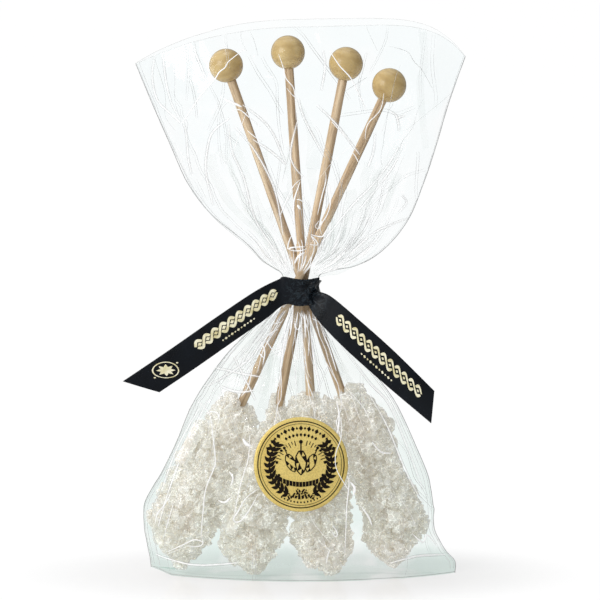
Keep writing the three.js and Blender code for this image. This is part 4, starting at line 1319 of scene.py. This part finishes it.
def stick(index):
    """A slightly uneven round stick. Each starts at a height of its own, so that its grain differs."""
    ball, foot = STICKS[index]
    length = (Vector(ball) - Vector(foot)).length - 0.3
    shift = 240.0 * (index + 1)
    heights = np.linspace(0.0, length, STICK_ROWS)
    uneven = 1.0 + 0.018 * np.sin(heights / 7.0 + index) + 0.012 * np.sin(heights / 2.3 + 2.0 * index)
    ends = np.minimum(1.0, 0.75 + np.minimum(heights, length - heights) * 0.6)
    profile = list(zip(STICK_RADIUS * 0.985 * uneven * ends, heights + shift))
    piece = make_piece(f"wood_stick_{index + 1}", *lathe(profile, STICK_SIDES), STICK_WOOD)
    stand_along(piece, foot, ball, shift)
    return mount(piece, "stick_wood", f"stick_{index + 1}")


def ball_piece(index):
    """A turned ball with a flat rim round the hole for the stick."""
    ball, foot = STICKS[index]
    shift = 60.0 * (index + 1)
    hole = STICK_RADIUS + 0.12
    start = math.asin(hole / BALL_RADIUS)
    profile = [(0.05, 0.0), (hole, 0.0)]
    for angle in np.linspace(start, math.pi, BALL_ROWS):
        profile.append((max(BALL_RADIUS * math.sin(angle), 0.02), -BALL_RADIUS * math.cos(angle)))
    raised = [(radius, height + shift) for radius, height in profile]
    piece = make_piece(f"wood_ball_{index + 1}", *lathe(raised, BALL_SIDES), BALL_WOOD)
    stand_along(piece, ball, Vector(ball) * 2.0 - Vector(foot), shift)
    return mount(piece, "ball_wood", f"ball_{index + 1}")


# ---------------------------------------------------------------- ribbon

# Edges of the two strips, from the neck outwards, as (x, y, z).
LEFT_STRIP = {
    "upper": [(8.1, -8.3, 98.0), (5.4, -10.4, 97.8), (1.0, -11.2, 97.6), (-3.2, -10.9, 98.1),
              (-5.6, -10.8, 97.4), (-12.6, -12.4, 94.0), (-24.0, -14.2, 86.6), (-40.0, -16.0, 75.6),
              (-55.2, -17.2, 65.4)],
    "lower": [(7.6, -8.6, 90.6), (4.6, -10.6, 89.3), (1.0, -11.2, 89.0), (-2.2, -11.0, 89.6),
              (-4.6, -11.0, 88.6), (-9.2, -12.4, 85.0), (-19.2, -14.2, 78.2), (-32.0, -16.0, 69.4),
              (-43.4, -17.2, 61.8)],
}
RIGHT_STRIP = {
    "upper": [(6.4, -9.0, 93.6), (8.6, -9.8, 93.4), (12.4, -12.0, 91.8), (20.4, -15.2, 85.4),
              (32.0, -16.8, 75.2), (45.0, -17.8, 62.4)],
    "lower": [(4.2, -9.8, 91.0), (5.0, -10.6, 88.2), (8.2, -12.6, 83.8), (16.0, -15.4, 76.0),
              (28.4, -16.8, 65.0), (44.0, -17.8, 51.8)],
}
STRIP_STEPS = 160
STRIP_ACROSS = 24
BAND_ROWS = 16
BAND_SIDES = 120
BAND_DROP = 2.4  # how much lower the band's upper edge is at the back
# The print's two strands: their half period, how far they swing, their width on each tail, how far they
# stop short of the strand that they pass under, and how far over the ribbon's middle they run.
STRAND_STEP = 3.1
STRAND_SWING = 1.55
STRAND_WIDTH = {"left": 0.76, "right": 0.52}
STRAND_GAP = 0.36
PRINT_RISE = 0.75
PRINT_LIFT = 0.03
PRINT_THICK = 0.07


def strip_grid(edges, wrinkle):
    """Points between two edges, with a crown across and the given wrinkles, in rows along the strip."""
    places = np.linspace(0.0, 1.0, STRIP_STEPS)
    upper = along(edges["upper"], places * (len(edges["upper"]) - 1))
    lower = along(edges["lower"], places * (len(edges["lower"]) - 1))
    part = np.linspace(0.0, 1.0, STRIP_ACROSS)[None, :, None]
    grid = upper[:, None, :] * (1.0 - part) + lower[:, None, :] * part
    crown = 0.35 * np.sin(math.pi * part[:, :, 0])
    grid[:, :, 1] -= crown + wrinkle(places[:, None], part[:, :, 0])
    return grid


def facing_front(grid, front):
    """Normals of a strip's grid, turned towards the front or the back."""
    normals = unit(np.cross(np.gradient(grid, axis=1), np.gradient(grid, axis=0)))
    towards = normals[:, :, 1:2] < 0.0 if front else normals[:, :, 1:2] > 0.0
    return normals * np.where(towards, 1.0, -1.0)


def thick_strip(name, grid, material):
    """A closed strip of ribbon from the grid of its front face."""
    back = grid + facing_front(grid, False) * RIBBON_THICK
    loops = np.concatenate([grid, back[:, ::-1]], axis=1)
    return face_outwards(make_piece(name, loops.reshape(-1, 3), tube_faces(*loops.shape[:2]), material))


def left_wrinkle(along_it, across_it):
    """Soft folds over the front of the neck that run towards the lower right."""
    near = np.exp(-((along_it - 0.1) / 0.1) ** 2)
    ridge = 1.0 - np.abs(np.sin(24.0 * along_it + 4.2 * across_it))
    folds = 1.1 * ridge**2 + 0.34 * np.sin(41.0 * along_it - 9.0 * across_it + 1.0)
    folds += 0.35 * np.sin(7.0 * across_it)
    folds += 0.16 * np.sin(83.0 * along_it + 21.0 * across_it)
    folds += 0.12 * np.sin(37.0 * across_it - 50.0 * along_it)
    return near * folds + 0.12 * np.sin(9.0 * along_it + 2.0 * across_it)


def right_wrinkle(along_it, across_it):
    """Gathers where the tail comes from under the band, fading along it."""
    near = np.exp(-((along_it / 0.2) ** 2))
    folds = 0.4 * np.sin(17.0 * across_it + 6.0 * along_it) + 0.2 * np.sin(31.0 * across_it)
    return near * folds + 0.15 * np.sin(8.0 * along_it + 1.5 * across_it)


def ribbon_band():
    """The turns round the neck, as a closed band a little proud of the film."""
    heights = np.linspace(89.2, 97.4, BAND_ROWS)
    angles = round_angles(BAND_SIDES)
    dense = np.linspace(12.0, 19.0, 500)
    left, left_height, right, _, depth = film_section(dense)[:5]
    rings = []
    for out, rows in ((0.75, heights), (0.45, heights[::-1])):
        for height in rows:
            edge_left = np.interp(height, left_height, left)
            edge_right = np.interp(height, left_height, right)
            deep = np.interp(height, left_height, depth)
            bow = np.maximum(1.0 - np.cos(angles) ** 2, 0.0) ** 0.46
            swell = out + 0.12 * math.sin(height * 1.3)
            half = (edge_right - edge_left) / 2.0 + swell
            x = (edge_left + edge_right) / 2.0 + half * np.cos(angles)
            y = np.sign(np.sin(angles)) * (deep + swell) * bow
            z = height - 0.35 * np.cos(angles) + 0.25 * np.sin(angles * 2.0)
            up = (height - heights[0]) / (heights[-1] - heights[0])
            z -= BAND_DROP * up * smoothstep(np.sin(angles), -0.7, 0.6)
            rings.append(np.stack([x, y, z], axis=1))
    rings.append(rings[0])
    faces = grid_faces(len(rings), BAND_SIDES)
    count = (len(rings) - 1) * BAND_SIDES
    faces = np.where(faces >= count, faces - count, faces)
    return mount(make_piece("satin_band", np.concatenate(rings[:-1]), faces, SATIN), "ribbon", "ribbon_wrap")


def leaf(length, width, bend=0.0):
    """A pointed leaf along +X from the origin, as an outline."""
    places = np.linspace(0.0, 1.0, 9)
    swell = np.sin(math.pi * places**0.8) * width / 2.0
    middle = bend * np.sin(math.pi * places)
    upper = np.stack([places * length, middle + swell], axis=1)
    lower = np.stack([places * length, middle - swell], axis=1)[-2:0:-1]
    return np.concatenate([upper, lower])


def dot(radius, sides=14):
    angles = round_angles(sides)
    return np.stack([radius * np.cos(angles), radius * np.sin(angles)], axis=1)


def stroke(line, width):
    """A line of even width, as an outline."""
    line = np.asarray(line, float)
    half = aside(line) * width / 2.0
    return np.concatenate([line + half, (line - half)[::-1]])


def placed(outline, x, y, turn=0.0, flip=1.0):
    """An outline turned and moved on its plane."""
    c, s = math.cos(turn), math.sin(turn)
    points = np.asarray(outline) * (1.0, flip)
    return points @ np.array([[c, s], [-s, c]]) + (x, y)


def strands(first, count, width):
    """Two strands that swing across each other, over and under in turn, with a lozenge in each eye."""
    shapes = []
    for number in range(count):
        for side in (1.0, -1.0):
            swing = side if number % 2 else -side
            over_first = (number % 2 == 0) == (side > 0)
            trims = (0.0, STRAND_GAP) if over_first else (STRAND_GAP, 0.0)
            places = np.linspace(trims[0] / STRAND_STEP, 1.0 - trims[1] / STRAND_STEP, 12)
            line = np.stack([first + (number + places) * STRAND_STEP,
                             PRINT_RISE + swing * STRAND_SWING * np.sin(math.pi * places)], axis=1)
            shapes.append(stroke(line, width))
        shapes.append(lozenge(first + (number + 0.5) * STRAND_STEP, PRINT_RISE, width))
    return shapes


def lozenge(x, y, half):
    return np.array([(x - half, y), (x, y - half * 0.8), (x + half, y), (x, y + half * 0.8)])


def ribbon_pattern(first, last, width):
    """Two plaited strands between two places along a ribbon, and a short row of lozenges below."""
    shapes = strands(first, int((last - first) / STRAND_STEP), width)
    middle = (first + last) / 2.0
    for number in range(-5, 6):
        half = 0.36 if number % 2 else 0.55
        shapes.append(lozenge(middle + number * 1.25, -2.6, half))
    return shapes


def ribbon_medal(x):
    """A round flower in a ring, for the end of the left tail."""
    shapes = [placed(leaf(2.5, 1.1), x, 0.0, math.pi * number / 4.0) for number in range(8)]
    shapes += [placed(shape, x, 0.0) for shape in ring(3.3, 0.34, 40)]
    shapes += [placed(dot(0.3, 10), x + 4.3 * side, 0.0) for side in (-1.0, 1.0)]
    return shapes


def lay_print(name, shapes, surface, lift, thick, material, slot):
    """Thin raised print: each outline becomes a plate on a surface given as a function of its plane."""
    points, faces = [], []
    for outline in shapes:
        count = len(outline)
        centre = outline.mean(axis=0)
        for offset in (lift, lift + thick):
            for spot in [*outline, centre]:
                points.append(surface(spot[0], spot[1], offset))
        base = len(points) - 2 * (count + 1)
        top = base + count + 1
        for side in range(count):
            other = (side + 1) % count
            faces.append((base + count, base + side, base + other))
            faces.append((top + count, top + other, top + side))
            faces.append((base + side, top + side, top + other, base + other))
    mount(face_outwards(make_piece(name, points, faces, material, smooth=False)), slot)


def strip_surface(grid):
    """A function from millimetres along and across a strip to a point over its front."""
    middle = grid[:, STRIP_ACROSS // 2]
    lengths = np.concatenate([[0.0], np.cumsum(np.linalg.norm(np.diff(middle, axis=0), axis=1))])
    normals = facing_front(grid, True)

    def point(place, across, lift):
        row = np.interp(place, lengths, np.arange(len(lengths)))
        column = np.clip((0.5 - across / RIBBON_WIDTH), 0.0, 1.0) * (STRIP_ACROSS - 1)
        r, c = min(int(row), len(lengths) - 2), min(int(column), STRIP_ACROSS - 2)
        fr, fc = row - r, column - c
        corners = [(r, c, (1 - fr) * (1 - fc)), (r + 1, c, fr * (1 - fc)), (r, c + 1, (1 - fr) * fc),
                   (r + 1, c + 1, fr * fc)]
        spot = sum(grid[i, j] * weight for i, j, weight in corners)
        normal = sum(normals[i, j] * weight for i, j, weight in corners)
        return tuple(spot + normal * lift)

    return point, lengths[-1]


def ribbon():
    ribbon_band()
    left = strip_grid(LEFT_STRIP, left_wrinkle)
    right = strip_grid(RIGHT_STRIP, right_wrinkle)
    mount(thick_strip("satin_left", left, SATIN), "ribbon", "ribbon_knot", "ribbon_tail_left")
    mount(thick_strip("satin_right", right, SATIN), "ribbon", "ribbon_tail_right")
    surface, length = strip_surface(left)
    shapes = ribbon_pattern(15.5, length - 20.0, STRAND_WIDTH["left"]) + ribbon_medal(length - 9.6)
    lay_print("ribbon_print_left", shapes, surface, PRINT_LIFT, PRINT_THICK, GOLD_INK, "ribbon")
    surface, length = strip_surface(right)
    shapes = ribbon_pattern(11.5, length - 4.0, STRAND_WIDTH["right"])
    lay_print("ribbon_print_right", shapes, surface, PRINT_LIFT, PRINT_THICK, GOLD_INK, "ribbon")


# ---------------------------------------------------------------- label

LABEL_FOLD = [(12.9, 15.0), (12.9, 8.6), (11.2, 3.2), (11.6, -1.8), (15.4, -8.4)]  # a fold of film over it, drawn as a painted highlight
LABEL_HALF_THICK = 0.12
LABEL_PRINT_LIFT = 0.14
LABEL_PRINT_THICK = 0.05
LABEL_ROUNDS = 24
LABEL_SIDES = 96


def label_surface(x, z, lift):
    """A point over the label's middle plane, x and z from the label's centre."""
    across, up = LABEL_MIDDLE[0] + x, LABEL_MIDDLE[1] + z
    return (across, -float(pouch_front(across, up)) - LABEL_STANDS - lift, up)


def ring(radius, width, sides=96):
    """A thin ring as short outlines, each a piece of it."""
    shapes = []
    step = 2.0 * math.pi / sides
    for number in range(sides):
        angles = np.array([number, number + 1]) * step
        ways = np.stack([np.cos(angles), np.sin(angles)], axis=1)
        shapes.append(np.concatenate([ways * (radius - width / 2.0), (ways * (radius + width / 2.0))[::-1]]))
    return shapes


def wreath(radius, side):
    """A branch with leaves that curves up one side of the label."""
    shapes = []
    angles = np.linspace(-1.2, 0.62, 30)
    arc = np.stack([side * radius * np.cos(angles), radius * np.sin(angles)], axis=1)
    shapes += [stroke(arc[number:number + 6], 0.42) for number in range(0, 25, 5)]
    for number, angle in enumerate(np.linspace(-1.15, 0.62, 11)):
        root = (side * radius * math.cos(angle), radius * math.sin(angle))
        heading = angle + math.pi / 2.0
        for out, length in ((-0.8, 2.5), (0.8, 3.1), (0.1, 2.0)):
            turn = heading + out
            turn = turn if side > 0 else math.pi - turn
            shapes.append(placed(leaf(length, 1.15, 0.12), root[0], root[1], turn))
        if number % 3 == 1:
            berry = radius - 2.3
            shapes.append(placed(dot(0.45), side * berry * math.cos(angle), berry * math.sin(angle)))
    return shapes


def little_candy(x, y, turn, size):
    """A faceted candy on a stick with a ball end, seen from the side."""
    shapes = [dot(0.8, 20) + (0.0, 7.4), stroke(np.array([(0.0, 6.9), (0.0, 3.4)]), 0.55)]
    outline = [(-0.9, 3.6), (0.9, 3.6), (2.0, 1.6), (2.4, -1.6), (1.5, -4.6), (0.0, -6.2), (-1.5, -4.6),
               (-2.4, -1.6), (-2.0, 1.6)]
    shapes += [stroke(np.array(pair), 0.5) for pair in zip(outline, outline[1:] + outline[:1])]
    facets = [((-0.9, 3.6), (0.9, 3.6), (0.2, 1.4)), ((0.2, 1.4), (2.0, 1.6), (2.4, -1.6)),
              ((-2.0, 1.6), (-2.4, -1.6), (-0.7, -1.2)), ((-0.7, -1.2), (0.4, -3.6), (-1.5, -4.6)),
              ((0.4, -3.6), (1.5, -4.6), (0.0, -6.2))]
    shapes += [np.array(facet) for facet in facets]
    return [placed(np.asarray(shape) * size, x, y, turn) for shape in shapes]


def scroll(y):
    """A plain curling band under the candies, in pieces with light gaps between them."""
    shapes = []
    for number in range(11):
        edges = (np.array([number - 5.5, number - 4.62]) * 1.05).tolist()
        lift = [0.035 * edge**2 for edge in edges]
        shapes.append(np.array([(edges[0], y + lift[0] - 0.8), (edges[1], y + lift[1] - 0.8),
                                (edges[1], y + lift[1] + 0.8), (edges[0], y + lift[0] + 0.8)]))
    for side in (-1.0, 1.0):
        tail = np.array([(6.0, 1.3), (8.3, 2.3), (7.5, 3.1), (8.4, 4.0), (6.0, 2.7)])
        shapes.append(tail * (side, 1.0) + (0.0, y - 0.6))
    return shapes


def rays(x, y, reach):
    """Short strokes that fan out over the little candies."""
    shapes = []
    for number in range(23):
        angle = math.pi * (0.06 + 0.88 * number / 22.0)
        first = reach * (0.74 if number % 2 else 0.82)
        way = np.array([math.cos(angle), math.sin(angle)])
        if abs(number - 11) > 1:
            shapes.append(stroke(np.array([way * first, way * reach * 0.93]) + (x, y), 0.26))
    return shapes


def crystal_heap(x, y):
    """A small heap of crystals, each a dark block with a light facet."""
    shapes = []
    for across, up, turn, size in ((-3.6, 0.0, 0.5, 0.8), (-1.9, 0.5, -0.4, 1.0), (0.0, 0.3, 0.1, 1.15),
                                   (2.0, 0.5, 0.5, 1.0), (3.7, 0.0, -0.5, 0.8), (-0.9, 1.9, 0.6, 0.85),
                                   (1.1, 1.9, -0.6, 0.85)):
        for shape in ([(-0.9, -0.8), (-0.15, -0.9), (-0.15, 0.9), (-0.7, 0.7)],
                      [(0.1, -0.9), (0.8, -0.7), (0.9, 0.3), (0.1, 0.1)],
                      [(0.1, 0.4), (0.75, 0.55), (0.5, 0.95), (0.1, 1.0)]):
            shapes.append(placed(np.array(shape) * size, x + across, y + up, turn))
    return shapes


def lozenge_arc(count, step, radius, halves, side=1.0):
    """Lozenges on an arc round the label's centre, at its top or its bottom."""
    shapes = []
    for number in range(count):
        angle = side * math.pi / 2.0 + (number - count // 2) * step
        outline = lozenge(0.0, 0.0, halves[number % len(halves)])
        shapes.append(placed(outline, radius * math.cos(angle), radius * math.sin(angle), angle))
    return shapes


def label_pattern():
    """Rings, a wreath round three little candies, a band under them and rows of beads."""
    shapes = ring(13.9, 0.34) + ring(13.1, 0.14)
    shapes += wreath(10.1, 1.0) + wreath(10.1, -1.0)
    shapes += little_candy(0.0, 1.6, 0.0, 0.78)
    shapes += little_candy(-3.5, 1.2, 0.42, 0.62) + little_candy(3.5, 1.2, -0.42, 0.62)
    shapes += scroll(-6.3) + lozenge_arc(21, 0.112, 11.7, (0.86, 0.5)) + lozenge_arc(9, 0.13, 9.6, (0.62,))
    shapes += rays(0.0, -0.4, 9.0) + crystal_heap(0.0, -10.4)
    return shapes + lozenge_arc(13, 0.09, 12.1, (0.4,), -1.0)


def label():
    """A thin disc that follows the film, and its print."""
    radii = LABEL_RADIUS * np.linspace(0.0, 1.0, LABEL_ROUNDS + 1)[1:]
    angles = round_angles(LABEL_SIDES)
    points, faces = [], []
    for lift in (LABEL_HALF_THICK, -LABEL_HALF_THICK):
        first = len(points)
        points.append(label_surface(0.0, 0.0, lift))
        for radius in radii:
            points += [label_surface(radius * math.cos(angle), radius * math.sin(angle), lift)
                       for angle in angles]
        for side in range(LABEL_SIDES):
            other = (side + 1) % LABEL_SIDES
            rows = [(first, first + 1 + side, first + 1 + other)]
            for row in range(LABEL_ROUNDS - 1):
                base = first + 1 + row * LABEL_SIDES
                outer = base + LABEL_SIDES
                rows.append((base + side, outer + side, outer + other, base + other))
            faces += rows if lift > 0.0 else [face[::-1] for face in rows]
    rim = 1 + (LABEL_ROUNDS - 1) * LABEL_SIDES
    back = len(points) // 2
    for side in range(LABEL_SIDES):
        other = (side + 1) % LABEL_SIDES
        faces.append((rim + side, back + rim + side, back + rim + other, rim + other))
    mount(make_piece("label_disc", points, faces, GOLD_PAPER), "label", "label")
    lay_print("label_print", label_pattern(), label_surface, LABEL_PRINT_LIFT, LABEL_PRINT_THICK, BROWN_INK,
              "label")
    # The film's fold over the label, as a thin painted highlight.
    fold = [label_surface(x, z, 0.42) for x, z in resampled(LABEL_FOLD, 0.5)]
    threads("film_fold_on_label", [(fold, 0.15)], GLINT)


# ---------------------------------------------------------------- stage, light and camera


def stage():
    corners = [(x * FLOOR_HALF, y * FLOOR_HALF, FLOOR_HEIGHT)
               for x, y in ((-1, -1), (1, -1), (1, 1), (-1, 1))]
    floor = make_piece("table_top", corners, [(0, 1, 2, 3)], floor_material(), smooth=False)


def world():
    """White for the camera. Light comes from a room that is bright on the left; what is glossy sees
    a bright room with a few darker gaps between its screens."""
    room = bpy.data.worlds.new("studio")
    bpy.context.scene.world = room
    room.use_nodes = True
    tree = room.node_tree
    tree.nodes.clear()
    way = add(tree, "ShaderNodeTexCoord").outputs["Generated"]
    x, _, z = add(tree, "ShaderNodeSeparateXYZ", {0: way}).outputs
    across, upwards = [math_node(tree, "ADD", math_node(tree, "MULTIPLY", part, 0.5), 0.5) for part in (x, z)]
    sideways = ramp(tree, across, [(0.0, 1.5), (0.35, 0.95), (0.65, 0.5), (1.0, 0.2)])
    height = ramp(tree, upwards, [(0.0, 0.75), (0.5, 0.8), (0.75, 1.0), (1.0, 1.1)])
    light = times(tree, sideways, height)
    gaps = ramp(tree, across, [(0.0, 0.7), (0.08, 0.95), (0.3, 0.9), (0.36, 0.6), (0.42, 0.85),
                               (0.62, 0.7), (0.68, 0.4), (0.76, 0.6), (0.9, 0.5), (1.0, 0.35)])
    gaps_height = ramp(tree, upwards, [(0.0, 0.9), (0.47, 0.9), (0.53, 0.7), (0.6, 0.95), (1.0, 1.05)])
    screens = times(tree, gaps, gaps_height)
    path = add(tree, "ShaderNodeLightPath")
    shade = mix_colour(tree, path.outputs["Is Glossy Ray"], light, screens)
    studio = add(tree, "ShaderNodeBackground", {"Color": shade, "Strength": 1.0})
    white = add(tree, "ShaderNodeBackground", {"Color": WHITE, "Strength": 1.0})
    shown = add(tree, "ShaderNodeMixShader",
                {0: path.outputs["Is Camera Ray"], 1: studio.outputs[0], 2: white.outputs[0]})
    add(tree, "ShaderNodeOutputWorld", {"Surface": shown.outputs[0]})


def softbox(name, place, size, watts, target=(0.0, 0.0, 0.09)):
    light = bpy.data.lights.new(name, "AREA")
    light.shape = "RECTANGLE"
    light.size, light.size_y = size
    light.energy = watts
    lamp = bpy.data.objects.new(name, light)
    lamp.location = place
    lamp.rotation_euler = (Vector(target) - Vector(place)).to_track_quat("-Z", "Y").to_euler()
    bpy.context.collection.objects.link(lamp)


def lights():
    softbox("key_left", (-0.8, -0.65, 0.5), (0.6, 0.6), 4.4)
    softbox("top", (0.0, 0.1, 0.9), (0.6, 0.5), 1.2)
    softbox("spark_left", (-0.42, -0.8, 0.46), (0.03, 0.03), 0.12)
    softbox("spark_front", (-0.12, -1.1, 0.4), (0.025, 0.025), 0.1)


CAMERA_TARGET = (1.8, 0.0, 89.5)
CAMERA_DISTANCE = 2000.0
CAMERA_ELEVATION = 7.5
FRAME_WIDTH = 194.2  # of the view, at the target
SENSOR = 36.0


def camera():
    lens = bpy.data.cameras.new("camera")
    lens.sensor_width = SENSOR
    lens.lens = SENSOR * CAMERA_DISTANCE / FRAME_WIDTH
    lens.clip_end = 20.0
    eye = bpy.data.objects.new("camera", lens)
    tilt = math.radians(CAMERA_ELEVATION)
    away = Vector((0.0, -math.cos(tilt), math.sin(tilt)))
    eye.location = (Vector(CAMERA_TARGET) + away * CAMERA_DISTANCE) * MM
    eye.rotation_euler = (-away).to_track_quat("-Z", "Y").to_euler()
    bpy.context.collection.objects.link(eye)
    bpy.context.scene.camera = eye


def look():
    scene = bpy.context.scene
    scene.view_settings.view_transform = "Standard"
    scene.cycles.max_bounces = 10
    scene.cycles.diffuse_bounces = 4
    scene.cycles.glossy_bounces = 4
    scene.cycles.transparent_max_bounces = 24
    scene.cycles.sample_clamp_indirect = 4.0


camera()
look()
world()
lights()
stage()
film()
SHAPES = crystal_shapes(np.random.default_rng(CRYSTAL_SEED))
for number in range(len(CANDIES)):
    candy(number, SHAPES)
    stick(number)
    ball_piece(number)
ribbon()
label()
